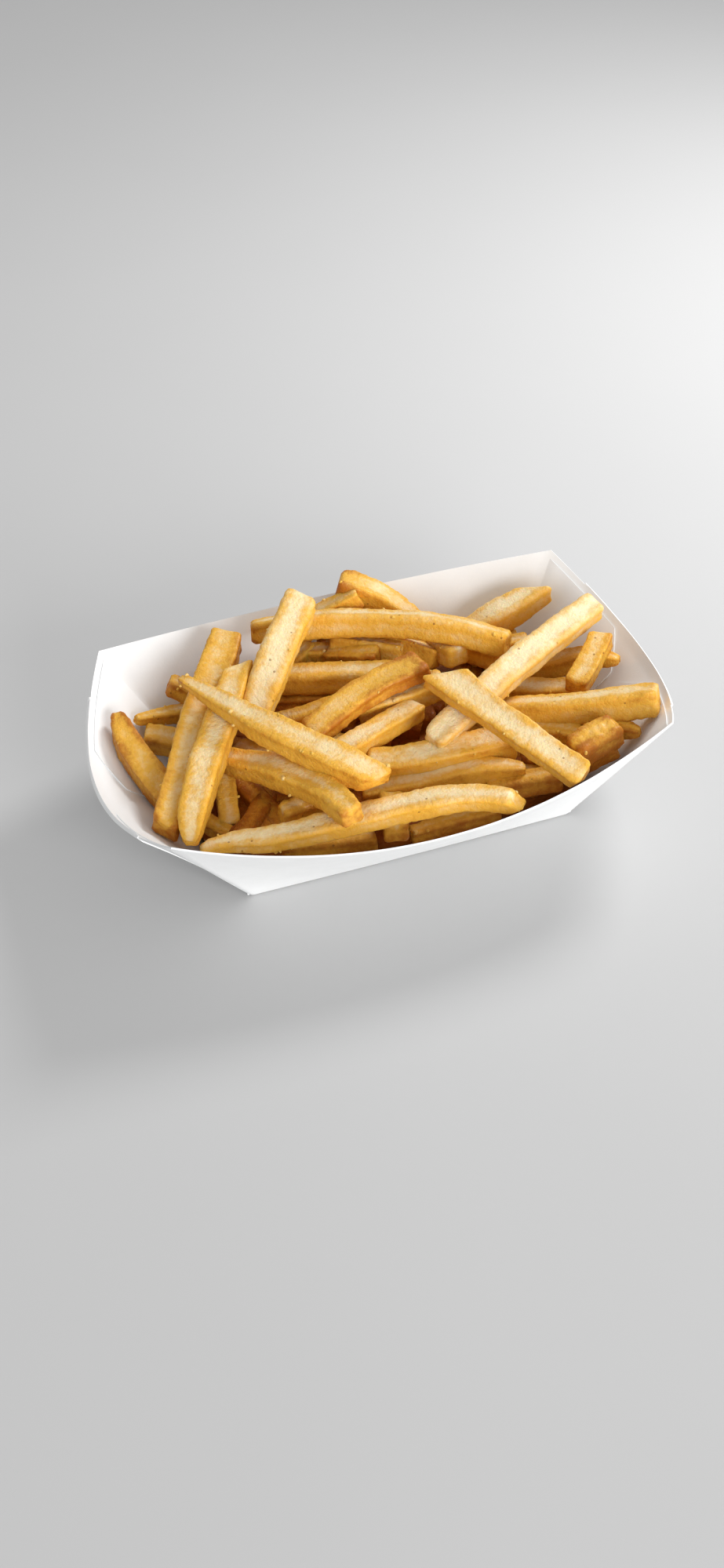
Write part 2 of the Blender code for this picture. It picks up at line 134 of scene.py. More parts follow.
# The shorter fries and the ones that show only in part
SHORT_FRIES = (
    Fry("back_top", 10.4, 8.8, ((4.8, 54.5, 43), (17, 48.5, 37), (30, 41, 24)), 0.4, (0.95, 1.0, 0.9),
        10.0, (4.0, 1.4), blister=(0.6, 0.0), scorch=(1.7, 0.2)),
    Fry("back_small", 7.0, 6.6, ((9.5, 46.5, 43), (-4, 49, 36), (-14, 48.5, 28)), 0.4),
    Fry("under_top", 7.6, 7.4, ((-2.5, 41, 31), (17.5, 26.5, 31)), 0.3, (0.9, 1.0), 25.0,
        scorch=(0.5, 0.3)),
    Fry("back_rough", 6.8, 6.6, ((-4.5, 38, 28), (9.0, 26, 33)), 0.6, tips=(1.4, 3.0), blister=(0.1, 0.9),
        scorch=(0.3, 0.8)),
    Fry("back_dark", 7.0, 6.8, ((-2.5, 50, 26), (3.5, 33, 24.5)), 0.75),
    Fry("back_tan", 7.2, 7.0, ((-20, 47, 27), (-1.0, 39, 27)), 0.4),
    Fry("under_right", 8.0, 7.6, ((14, 38, 30), (28, 23, 29)), 0.55, roll=20.0),
    Fry("centre_dark_strip", 7.0, 7.0, ((-30, 31, 21), (-4, 22, 23)), 0.85),
    Fry("centre_tan", 7.6, 7.4, ((-38, 20, 19), (-10, 12.5, 28)), 0.55),
    # end_on's low tone makes its end pale as a painted highlight, for the light that falls on that end.
    Fry("end_on", 8.6, 8.4, ((33.5, 17.5, 33), (29.5, 36, 27)), -0.2, tips=(2.4, 1.4)),
    Fry("far_brown", 7.4, 7.2, ((38, 31, 26), (52, 13, 26.5)), 0.65, roll=15.0),
    Fry("under_end", 8.0, 7.8, ((38, 30, 21), (58, 27, 25)), 0.6),
    Fry("far_bit", 6.0, 6.0, ((46, 26, 27), (59, 22.5, 28)), 0.45),
    Fry("right_upright", 8.0, 6.4, ((79, 8.5, 34.5), (62.5, -8.5, 32)), 0.55, cuts=(0.25, 0.0, 0.0, 0.0)),
    Fry("right_pointed", 7.0, 7.0, ((50, 17, 21), (72.5, 8.5, 27.5), (82, 1, 30)), 0.55,
        (0.9, 1.0, 0.5), tips=(1.4, 4.0)),
    Fry("right_pale", 7.8, 7.8, ((42, 11, 21), (67, -3, 25)), 0.2),
    Fry("right_dark", 7.2, 7.0, ((46, -11, 25), (63, -25.5, 29.5), (72, -36, 33)), 0.95,
        (0.9, 1.0, 0.5), tips=(1.4, 4.0)),
    Fry("right_rough", 9.8, 9.2, ((49, -38, 33), (65, -34, 35)), 0.85, tips=(2.4, 2.4),
        blister=(0.8, 0.0), scorch=(0.8, 1.0)),
    Fry("right_short", 7.2, 7.2, ((40, -15, 27), (56, -28, 29)), 0.5),
    Fry("right_near", 6.6, 6.4, ((46, -36, 25), (64, -35.5, 29)), 0.95),
    Fry("left_thin", 6.6, 6.4, ((-71, 28.5, 28.2), (-50, 34, 21.4)), 0.35, (0.5, 1.0), tips=(4.0, 1.4)),
    Fry("left_stub", 6.8, 6.4, ((-57.5, 39, 31), (-42, 29.5, 22)), 0.75, tips=(3.0, 1.4)),
    Fry("left_low", 8.6, 7.6, ((-69.5, 25, 23.5), (-46.5, 13.5, 19)), 0.5),
    Fry("left_upright", 7.2, 7.0, ((-50, 1, 23), (-54, -19, 18.5)), 0.5),
    Fry("left_deep", 7.8, 7.6, ((-46, 4, 19), (-41, -20, 17)), 0.95),
    Fry("near_dark_eye", 8.0, 7.8, ((-39.5, -25, 24), (-17, -21, 21)), 0.65, tips=(2.4, 1.4),
        blister=(0.3, 0.0)),
    Fry("near_left_bit", 5.8, 5.8, ((-61, -14, 20), (-54, -24, 19)), 0.8),
    Fry("near_under", 7.4, 7.2, ((-42, -32, 18.5), (-14, -37.5, 18)), 0.7),
    Fry("near_golden", 8.6, 8.2, ((-9.5, -44.5, 25.5), (-5, -25, 21)), 0.4),
    Fry("near_wall", 6.0, 5.8, ((-3, -37.5, 15.5), (26, -36.5, 15)), 0.8),
    Fry("near_right_low", 7.4, 7.2, ((24, -32, 21), (46, -38, 24)), 0.95),
    Fry("middle_deep", 7.8, 7.6, ((8, 6, 19), (34, 14, 19.5)), 0.9),
    Fry("middle_bit", 6.8, 6.8, ((21, -9, 22), (40, -2, 22)), 0.8),
    Fry("back_left_low", 7.0, 7.0, ((-24, 42, 24), (3, 42.5, 24)), 0.35),
    Fry("back_left_bit", 6.2, 6.2, ((-21, 37, 25), (-8.5, 45, 28)), 0.35),
)


def deselect_all() -> None:
    """Leaves nothing selected, because an operator acts on all that is."""
    bpy.ops.object.select_all(action="DESELECT")


def select_only(item: bpy.types.Object) -> None:
    """Selects one object and makes it the active one."""
    deselect_all()
    item.select_set(True)
    bpy.context.view_layer.objects.active = item


def read_points(item: bpy.types.Object) -> np.ndarray:
    """Reads where the points of a mesh are.

    Args:
        item: The mesh's object.

    Returns:
        The points in the mesh's own unit, shape (n, 3).
    """
    flat = np.empty(len(item.data.vertices) * 3)
    item.data.vertices.foreach_get("co", flat)
    return flat.reshape(-1, 3)


def write_points(item: bpy.types.Object, points: np.ndarray) -> None:
    """Moves the points of a mesh to places given in millimetres."""
    item.data.vertices.foreach_set("co", (points * MM).ravel())
    item.data.update()


def shaped_grid(name: str, columns: int, rows: int,
                place: Callable[[np.ndarray, np.ndarray], np.ndarray]) -> bpy.types.Object:
    """Adds a grid primitive and moves its vertices onto a surface.

    Args:
        name: Name of the new object.
        columns: Faces along the grid's first direction.
        rows: Faces along its second direction.
        place: Gives points in millimetres, shape (n, 3), from the shares 0 to 1 along both.

    Returns:
        The new object, with its mesh in metres.
    """
    deselect_all()
    bpy.ops.mesh.primitive_grid_add(x_subdivisions=columns, y_subdivisions=rows, size=1.0)
    item = bpy.context.object
    item.name = name
    item.data.name = name
    flat = read_points(item)
    along = np.rint((flat[:, 0] + 0.5) * columns) / columns
    across = np.rint((flat[:, 1] + 0.5) * rows) / rows
    write_points(item, place(along, across))
    return item


def close_seams(item: bpy.types.Object) -> None:
    """Merges the vertices that meet at seams and poles and turns every face outwards.

    Args:
        item: The object whose mesh is closed.
    """
    select_only(item)
    bpy.ops.object.mode_set(mode="EDIT")
    bpy.ops.mesh.select_all(action="SELECT")
    bpy.ops.mesh.remove_doubles(threshold=MERGE_LENGTH)
    bpy.ops.mesh.normals_make_consistent(inside=False)
    bpy.ops.object.mode_set(mode="OBJECT")


def face_towards(item: bpy.types.Object, direction: tuple) -> None:
    """Turns the faces of an open sheet over where most of them look away from a direction.

    Args:
        item: The sheet.
        direction: The way that its faces have to look.
    """
    ahead = Vector(direction)
    if sum(face.normal.dot(ahead) * face.area for face in item.data.polygons) < 0.0:
        item.data.flip_normals()


def apply_modifier(item: bpy.types.Object, kind: str, **settings: object) -> None:
    """Adds one modifier with its settings and applies it.

    Args:
        item: The object that it changes.
        kind: The modifier's type.
        settings: Its properties.
    """
    select_only(item)
    modifier = item.modifiers.new(kind.lower(), kind)
    for key, value in settings.items():
        setattr(modifier, key, value)
    bpy.ops.object.modifier_apply(modifier=modifier.name)


def join(items: list, name: str) -> bpy.types.Object:
    """Joins several objects into the first of them.

    Args:
        items: The objects.
        name: Name of the result.

    Returns:
        The joined object.
    """
    select_only(items[0])
    for item in items[1:]:
        item.select_set(True)
    bpy.ops.object.join()
    items[0].name = name
    items[0].data.name = name
    return items[0]


def shade_smooth(item: bpy.types.Object, angle: float = 180.0) -> None:
    """Shades a piece smooth.

    Args:
        item: The piece.
        angle: Edges sharper than this, in degrees, stay crisp.
    """
    select_only(item)
    if angle < 180.0:
        bpy.ops.object.shade_smooth_by_angle(angle=math.radians(angle))
    else:
        bpy.ops.object.shade_smooth()


def declare(item: bpy.types.Object, material: bpy.types.Material, node: str) -> None:
    """Gives a piece its one material, hangs it on the root and hides the part's node that it stands for.

    Args:
        item: The piece.
        material: What it is made of.
        node: The part's node that it replaces.
    """
    item.data.materials.clear()
    item.data.materials.append(material)
    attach(item, "root")
    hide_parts(node)
    log.info("%s: %d faces, stands for %s", item.name, len(item.data.polygons), node)


def paint_skin(item: bpy.types.Object, values: np.ndarray) -> None:
    """Writes the attribute skin at each vertex: edge nearness, scorch, tone, and upness for the painted
    shade of the sides.
    """
    attribute = item.data.attributes.new("skin", "FLOAT_COLOR", "POINT")
    attribute.data.foreach_set("color", values.ravel())


def smooth_noise(points: np.ndarray, wavelength: float, seed: float) -> np.ndarray:
    """Noise from -1 to 1 at points in millimetres.

    Args:
        points: The points, shape (n, 3).
        wavelength: The size of its waves.
        seed: Which noise it is.

    Returns:
        One value for each point.
    """
    shift = Vector((seed * 17.3, seed * 5.1, seed * 9.7))
    return np.array([noise.noise(Vector(point) / wavelength + shift) for point in points])


class Wiring:
    """A short way to add and link the nodes of one tree."""

    def __init__(self, tree: bpy.types.NodeTree) -> None:
        """Keeps the tree that the nodes go into."""
        self.tree = tree

    def add(self, kind: str, **settings: object) -> bpy.types.Node:
        """Adds a node.

        Args:
            kind: The node's type.
            settings: Its properties, or numbers for its inputs where it has no such property.

        Returns:
            The new node.
        """
        node = self.tree.nodes.new(kind)
        for key, value in settings.items():
            if hasattr(node, key):
                setattr(node, key, value)
            else:
                node.inputs[key.replace("_", " ")].default_value = value
        return node

    def link(self, source: bpy.types.NodeSocket, target: bpy.types.NodeSocket) -> None:
        """Links one socket to another."""
        self.tree.links.new(source, target)

    def mix(self, factor: bpy.types.NodeSocket, low: object, high: object) -> bpy.types.NodeSocket:
        """Mixes two colours.

        Args:
            factor: The socket that says how much of the second shows.
            low: The first colour, a socket or a plain value.
            high: The second colour, a socket or a plain value.

        Returns:
            The socket of the mixed colour.
        """
        node = self.add("ShaderNodeMix", data_type="RGBA")
        self.link(factor, node.inputs["Factor"])
        for value, socket in ((low, node.inputs[6]), (high, node.inputs[7])):
            if isinstance(value, bpy.types.NodeSocket):
                self.link(value, socket)
            else:
                socket.default_value = (*value, 1.0)
        return node.outputs[2]

    def maths(self, operation: str, first: object, second: object) -> bpy.types.NodeSocket:
        """One arithmetic step on two sockets or numbers.

        Args:
            operation: The step's name.
            first: The first socket or number.
            second: The second socket or number.

        Returns:
            The result's socket.
        """
        node = self.add("ShaderNodeMath", operation=operation)
        for value, socket in ((first, node.inputs[0]), (second, node.inputs[1])):
            if isinstance(value, bpy.types.NodeSocket):
                self.link(value, socket)
            else:
                socket.default_value = value
        return node.outputs[0]

    def share(self, mask: bpy.types.NodeSocket, amount: float) -> bpy.types.NodeSocket:
        """A mask times a number."""
        return self.maths("MULTIPLY", mask, amount)

    def rest(self, mask: bpy.types.NodeSocket, amount: float) -> bpy.types.NodeSocket:
        """What is left of 1 after a share of a mask."""
        return self.maths("SUBTRACT", 1.0, self.share(mask, amount))

    def ramp(self, value: bpy.types.NodeSocket, low: float, high: float,
             to_low: float = 0.0, to_high: float = 1.0) -> bpy.types.NodeSocket:
        """Maps a range smoothly onto another one.

        Args:
            value: The socket that is mapped.
            low: The value that gives to_low. It may be above high, for a falling ramp.
            high: The value that gives to_high.
            to_low: First end of the result.
            to_high: Second end of the result.

        Returns:
            The result's socket.
        """
        node = self.add("ShaderNodeMapRange", interpolation_type="SMOOTHSTEP")
        self.link(value, node.inputs["Value"])
        for key, number in (("From Min", low), ("From Max", high), ("To Min", to_low), ("To Max", to_high)):
            node.inputs[key].default_value = number
        return node.outputs["Result"]

    def bump(self, shader: bpy.types.Node, height: bpy.types.NodeSocket, strength: float,
             distance: float) -> None:
        """Gives a shader fine relief.

        Args:
            shader: The shader node.
            height: The socket of the heights.
            strength: How much of the relief shows.
            distance: Its full height in metres.
        """
        node = self.add("ShaderNodeBump", Strength=strength, Distance=distance)
        self.link(height, node.inputs["Height"])
        self.link(node.outputs["Normal"], shader.inputs["Normal"])


def new_group(name: str, inputs: dict, outputs: tuple) -> tuple:
    """Makes a shader node group.

    Args:
        name: Name of the group.
        inputs: Input names, each with its default number, or None for a vector.
        outputs: Names of the value outputs.

    Returns:
        The wiring of the group, its input node and its output node.
    """
    tree = bpy.data.node_groups.new(name, "ShaderNodeTree")
    for key, value in inputs.items():
        kind = "NodeSocketVector" if value is None else "NodeSocketFloat"
        socket = tree.interface.new_socket(name=key, in_out="INPUT", socket_type=kind)
        if value is not None:
            socket.default_value = value
    for key in outputs:
        tree.interface.new_socket(name=key, in_out="OUTPUT", socket_type="NodeSocketFloat")
    wiring = Wiring(tree)
    return wiring, wiring.add("NodeGroupInput"), wiring.add("NodeGroupOutput")


def make_mottle() -> bpy.types.NodeTree:
    """Soft patches: noise of a chosen size, spread out between 0 and 1.

    Returns:
        The node group.
    """
    inputs = {"Vector": None, "Scale": 200.0, "Spread": 0.2}
    wiring, source, result = new_group("mottle", inputs, ("Mask",))
    patches = wiring.add("ShaderNodeTexNoise", Detail=4.0, Roughness=0.55)
    wiring.link(source.outputs["Vector"], patches.inputs["Vector"])
    wiring.link(source.outputs["Scale"], patches.inputs["Scale"])
    spread = wiring.add("ShaderNodeMapRange", interpolation_type="SMOOTHSTEP")
    wiring.link(patches.outputs["Fac"], spread.inputs["Value"])
    wiring.link(wiring.maths("SUBTRACT", 0.5, source.outputs["Spread"]), spread.inputs["From Min"])
    wiring.link(wiring.maths("ADD", 0.5, source.outputs["Spread"]), spread.inputs["From Max"])
    wiring.link(spread.outputs["Result"], result.inputs["Mask"])
    return wiring.tree


def make_specks() -> bpy.types.NodeTree:
    """Small scattered dots: the cores of some cells, picked by each cell's random colour.

    Returns:
        The node group.
    """
    inputs = {"Vector": None, "Scale": 900.0, "Size": 0.2, "Share": 0.6}
    wiring, source, result = new_group("specks", inputs, ("Mask",))
    cells = wiring.add("ShaderNodeTexVoronoi", feature="F1")
    wiring.link(source.outputs["Vector"], cells.inputs["Vector"])
    wiring.link(source.outputs["Scale"], cells.inputs["Scale"])
    inside = wiring.maths("LESS_THAN", cells.outputs["Distance"], source.outputs["Size"])
    chosen = wiring.add("ShaderNodeSeparateColor")
    wiring.link(cells.outputs["Color"], chosen.inputs["Color"])
    allowed = wiring.maths("GREATER_THAN", chosen.outputs["Red"], source.outputs["Share"])
    wiring.link(wiring.maths("MULTIPLY", inside, allowed), result.inputs["Mask"])
    return wiring.tree


class Groups:
    """The node groups that the finishes share, each made once."""

    def __init__(self) -> None:
        """Makes every group."""
        self.mottle = make_mottle()
        self.specks = make_specks()


def start_material(name: str, base: tuple, roughness: float) -> tuple:
    """Makes a material with a plain shader.

    Args:
        name: Name of the material.
        base: Its plain colour.
        roughness: Its plain roughness.

    Returns:
        The material, its wiring, its shader and the socket of its Object coordinates.
    """
    material = bpy.data.materials.new(name)
    material.use_nodes = True
    wiring = Wiring(material.node_tree)
    shader = material.node_tree.nodes["Principled BSDF"]
    shader.inputs["Base Color"].default_value = (*base, 1.0)
    shader.inputs["Roughness"].default_value = roughness
    shader.inputs["Metallic"].default_value = 0.0
    place = wiring.add("ShaderNodeTexCoord").outputs["Object"]
    return material, wiring, shader, place


def use_group(wiring: Wiring, group: bpy.types.NodeTree, place: bpy.types.NodeSocket,
              **values: float) -> bpy.types.NodeSocket:
    """Places a shared group in a material.

    Args:
        wiring: The material's wiring.
        group: The shared group.
        place: The socket of the coordinates that it reads.
        values: Numbers for its other inputs.

    Returns:
        The socket of its mask.
    """
    node = wiring.add("ShaderNodeGroup")
    node.node_tree = group
    wiring.link(place, node.inputs["Vector"])
    for key, value in values.items():
        node.inputs[key].default_value = value
    return node.outputs[0]


@dataclass(frozen=True)
class PotatoFinish:
    """Fried potato: pale faces, golden edges, browner ends, a pimply skin and a thin oily sheen.

    Doneness adds up from the shares of the edges, the fry's tone, the patches and the ends, less
    the paleness.  Painted shade comes into it too: the side share paints faces that look sideways or
    down golden, which leaves the upper faces pale as a painted highlight, and a plain amount
    darkens the whole crust of fries that lie in shade.  The drifts are how far the patches shift the
    edges.  The rim's and the side's ranges say how edge nearness and upness count.  golden_range
    and brown_range are where cream gives way to golden and golden to brown.  bleed is how far light
    runs under the skin.  It and bump_height are in metres.
    """

    name: str = "fried_potato_crust"
    cream: tuple = (0.92, 0.76, 0.46)
    golden: tuple = (0.81, 0.435, 0.050)
    brown: tuple = (0.46, 0.150, 0.010)
    speck: tuple = (0.22, 0.07, 0.010)
    roughness: float = 0.50
    roughness_range: tuple = (0.38, 0.60)
    # Painted shade: a plain amount added to the doneness of fries that lie in shade.
    painted_shade: float = 0.0
    rim_share: float = 0.58
    side_painted_shade: float = 0.58
    tone_share: float = 0.60
    broad_share: float = 0.36
    fine_share: float = 0.12
    tip_share: float = 0.45
    paleness: float = 0.27
    broad_drift: float = 0.5
    fine_drift: float = 0.3
    rim_range: tuple = (-0.2, 1.15)
    side_painted_shade_range: tuple = (0.95, 0.0)
    golden_range: tuple = (-0.22, 0.88)
    brown_range: tuple = (0.80, 1.55)
    speck_strength: float = 0.6
    blister_height: float = 0.55
    pimple_height: float = 0.35
    bump_strength: float = 0.8
    bump_height: float = 0.0004
    shine: float = 0.2
    oil: float = 0.12
    oil_roughness: float = 0.22
    bleed_share: float = 0.3
    bleed: float = 0.0022
    bleed_colour: tuple = (1.0, 0.6, 0.22)

    def doneness(self, wiring: Wiring, broad: bpy.types.NodeSocket,
                 fine: bpy.types.NodeSocket) -> bpy.types.NodeSocket:
        """How far the crust has browned, from the mesh attribute skin and the patches, with painted shade
        on the sides and on shaded fries added in.

        Args:
            wiring: The material's wiring.
            broad: The mask of the broad patches.
            fine: The mask of the fine patches.

        Returns:
            The socket of the doneness.
        """
        skin = wiring.add("ShaderNodeAttribute", attribute_name="skin")
        parts = wiring.add("ShaderNodeSeparateColor")
        wiring.link(skin.outputs["Color"], parts.inputs["Color"])
        edge, tip, tone = (parts.outputs[key] for key in ("Red", "Green", "Blue"))
        upness = skin.outputs["Alpha"]
        wander = wiring.maths("ADD", wiring.share(wiring.maths("SUBTRACT", broad, 0.5), self.broad_drift),
                              wiring.share(wiring.maths("SUBTRACT", fine, 0.5), self.fine_drift))
        rim = wiring.ramp(wiring.maths("ADD", edge, wander), *self.rim_range)
        # Painted shade: faces that look sideways or down count as more done and come out golden, so the
        # upper faces stay pale as a painted highlight.
        side = wiring.ramp(upness, *self.side_painted_shade_range)
        bare = wiring.maths("MULTIPLY", wiring.rest(rim, self.rim_share),
                            wiring.rest(side, self.side_painted_shade))
        done = wiring.maths("SUBTRACT", 1.0, bare)
        for mask, amount in ((tone, self.tone_share), (broad, self.broad_share),
                             (fine, self.fine_share), (tip, self.tip_share)):
            done = wiring.maths("ADD", done, wiring.share(mask, amount))
        # The plain amount added here is painted shade for fries that lie in shade; the paleness comes off.
        return wiring.maths("ADD", done, self.painted_shade - self.paleness)

    def material(self, groups: Groups) -> bpy.types.Material:
        """Builds the material from the doneness, a few dark specks and a pimply bump.

        Args:
            groups: The shared node groups.

        Returns:
            The material.
        """
        material, wiring, shader, place = start_material(self.name, self.golden, self.roughness)
        broad = use_group(wiring, groups.mottle, place, Scale=140.0, Spread=0.3)
        fine = use_group(wiring, groups.mottle, place, Scale=700.0, Spread=0.22)
        pimples = use_group(wiring, groups.mottle, place, Scale=1700.0, Spread=0.3)
        dots = use_group(wiring, groups.specks, place, Scale=330.0, Size=0.13, Share=0.88)

        done = self.doneness(wiring, broad, fine)
        gold = wiring.mix(wiring.ramp(done, *self.golden_range), self.cream, self.golden)
        crust = wiring.mix(wiring.ramp(done, *self.brown_range), gold, self.brown)
        colour = wiring.mix(wiring.share(dots, self.speck_strength), crust, self.speck)
        wiring.link(colour, shader.inputs["Base Color"])
        wiring.link(wiring.ramp(fine, 0.0, 1.0, *self.roughness_range), shader.inputs["Roughness"])
        height = wiring.maths("ADD", wiring.share(fine, self.blister_height),
                              wiring.share(pimples, self.pimple_height))
        wiring.bump(shader, height, self.bump_strength, self.bump_height)
        for key, value in (("Specular IOR Level", self.shine), ("Coat Weight", self.oil),
                           ("Coat Roughness", self.oil_roughness), ("Subsurface Weight", self.bleed_share),
                           ("Subsurface Radius", self.bleed_colour), ("Subsurface Scale", self.bleed)):
            shader.inputs[key].default_value = value
        return material


@dataclass(frozen=True)
class PaperFinish:
    """Smooth white paperboard with faint clouds and a fine felt of fibres, its height in metres."""

    name: str = "white_board"
    white: tuple = (0.885, 0.89, 0.89)
    shade: tuple = (0.85, 0.855, 0.853)
    roughness: float = 0.5
    roughness_range: tuple = (0.44, 0.58)
    felt_strength: float = 0.12
    felt_height: float = 0.0001

    def material(self, groups: Groups) -> bpy.types.Material:
        """Builds the material from broad clouds and a fine bump.

        Args:
            groups: The shared node groups.

        Returns:
            The material.
        """
        material, wiring, shader, place = start_material(self.name, self.white, self.roughness)
        clouds = use_group(wiring, groups.mottle, place, Scale=90.0, Spread=0.25)
        fibres = use_group(wiring, groups.mottle, place, Scale=1900.0, Spread=0.3)
        wiring.link(wiring.mix(clouds, self.white, self.shade), shader.inputs["Base Color"])
        wiring.link(wiring.ramp(clouds, 0.0, 1.0, *self.roughness_range), shader.inputs["Roughness"])
        wiring.bump(shader, fibres, self.felt_strength, self.felt_height)
        return material


@dataclass(frozen=True)
class FloorFinish:
    """A plain pale floor with the faintest unevenness."""

    name: str = "pale_floor"
    light: tuple = (0.58, 0.58, 0.58)
    dark: tuple = (0.56, 0.56, 0.56)
    roughness: float = 0.7

    def material(self, groups: Groups) -> bpy.types.Material:
        """Builds the material from two greys in broad patches.

        Args:
            groups: The shared node groups.

        Returns:
            The material.
        """
        material, wiring, shader, place = start_material(self.name, self.light, self.roughness)
        patches = use_group(wiring, groups.mottle, place, Scale=3.0, Spread=0.3)
        wiring.link(wiring.mix(patches, self.light, self.dark), shader.inputs["Base Color"])
        return material


@dataclass(frozen=True)
class Viewpoint:
    """Where the photograph was taken from, in degrees, millimetres and pixels of its frame."""

    azimuth: float = 16.97
    elevation: float = 43.06
    roll: float = -2.15
    distance: float = 573.4
    look_height: float = 22.0
    right_shift: float = -5.35
    up_shift: float = -13.88
    focal_pixels: float = 2326.64
    frame_height: float = 2000.0
    sensor_height: float = 36.0
    nearest: float = 10.0

    def axes(self) -> tuple:
        """Where the view starts and which way it looks.

        Returns:
            The eye, in millimetres, and the right, up and forward directions.
        """
        azimuth, elevation, roll = (math.radians(v) for v in (self.azimuth, self.elevation, self.roll))
        view = Vector((math.sin(azimuth) * math.cos(elevation),
                       math.cos(azimuth) * math.cos(elevation), -math.sin(elevation)))
        level = Vector((math.cos(azimuth), -math.sin(azimuth), 0.0))
        upright = level.cross(view)
        right = level * math.cos(roll) + upright * math.sin(roll)
        up = upright * math.cos(roll) - level * math.sin(roll)
        eye = (Vector((0.0, 0.0, self.look_height)) - view * self.distance
               + right * self.right_shift + up * self.up_shift)
        return eye, right, up, view

    def project(self, points: np.ndarray) -> np.ndarray:
        """Where points lie in the view.

        Args:
            points: The points in millimetres, shape (n, 3).

        Returns:
            How far across, how far up and how far away each one is, shape (n, 3).
        """
        eye, right, up, view = (np.array(direction) for direction in self.axes())
        away = points - eye
        depth = away @ view
        return np.stack([away @ right / depth, away @ up / depth, depth], axis=1)

    def place(self) -> None:
        """Adds the camera and makes it the scene's own."""
        eye, right, up, view = self.axes()
        deselect_all()
        bpy.ops.object.camera_add()
        camera = bpy.context.object
        camera.name = "photo_view"
        matrix = Matrix((right, up, -view)).transposed().to_4x4()
        matrix.translation = eye * MM
        camera.matrix_world = matrix
        camera.data.sensor_fit = "VERTICAL"
        camera.data.sensor_height = self.sensor_height
        camera.data.lens = self.focal_pixels / self.frame_height * self.sensor_height
        camera.data.clip_start = self.nearest * MM
        bpy.context.scene.camera = camera


class Lamp(NamedTuple):
    """One soft lamp: where it hangs and how large it is, in metres, and how bright."""

    name: str
    place: tuple
    size: float
    power: float
    colour: tuple = (1.0, 1.0, 1.0)


@dataclass(frozen=True)
class Studio:
    """A plain pale floor under two soft lamps, with places and sizes in metres."""

    floor_size: float = 6.0
    sky: tuple = (1.0, 1.0, 1.0)
    sky_strength: float = 0.56
    lamps: tuple = (
        Lamp("key", (0.44, 0.26, 0.42), 0.22, 2.4),
        Lamp("front", (0.5, -1.7, 0.50), 1.20, 29.5),
    )
    aim: tuple = (0.0, 0.0, 0.02)

    def build(self, groups: Groups) -> None:
        """Adds the floor, the lamps and the even light round them.

        Args:
            groups: The shared node groups.
        """
        deselect_all()
        bpy.ops.mesh.primitive_plane_add(size=self.floor_size, location=(0.0, 0.0, 0.0))
        floor = bpy.context.object
        floor.name = "floor"
        floor.data.materials.append(FloorFinish().material(groups))
        for lamp in self.lamps:
            self.hang(lamp)
        world = bpy.data.worlds.new("studio")
        world.use_nodes = True
        background = world.node_tree.nodes["Background"]
        background.inputs["Color"].default_value = (*self.sky, 1.0)
        background.inputs["Strength"].default_value = self.sky_strength
        bpy.context.scene.world = world
        bpy.context.scene.view_settings.view_transform = "Standard"

    def hang(self, lamp: Lamp) -> None:
        """Adds one lamp, turned to the tray.

        Args:
            lamp: The lamp.
        """
        deselect_all()
        bpy.ops.object.light_add(type="AREA", location=lamp.place)
        light = bpy.context.object
        light.name = lamp.name
        light.rotation_euler = (Vector(self.aim) - Vector(lamp.place)).to_track_quat("-Z", "Y").to_euler()
        light.data.shape = "DISK"
        light.data.size = lamp.size
        light.data.energy = lamp.power
        light.data.color = lamp.colour


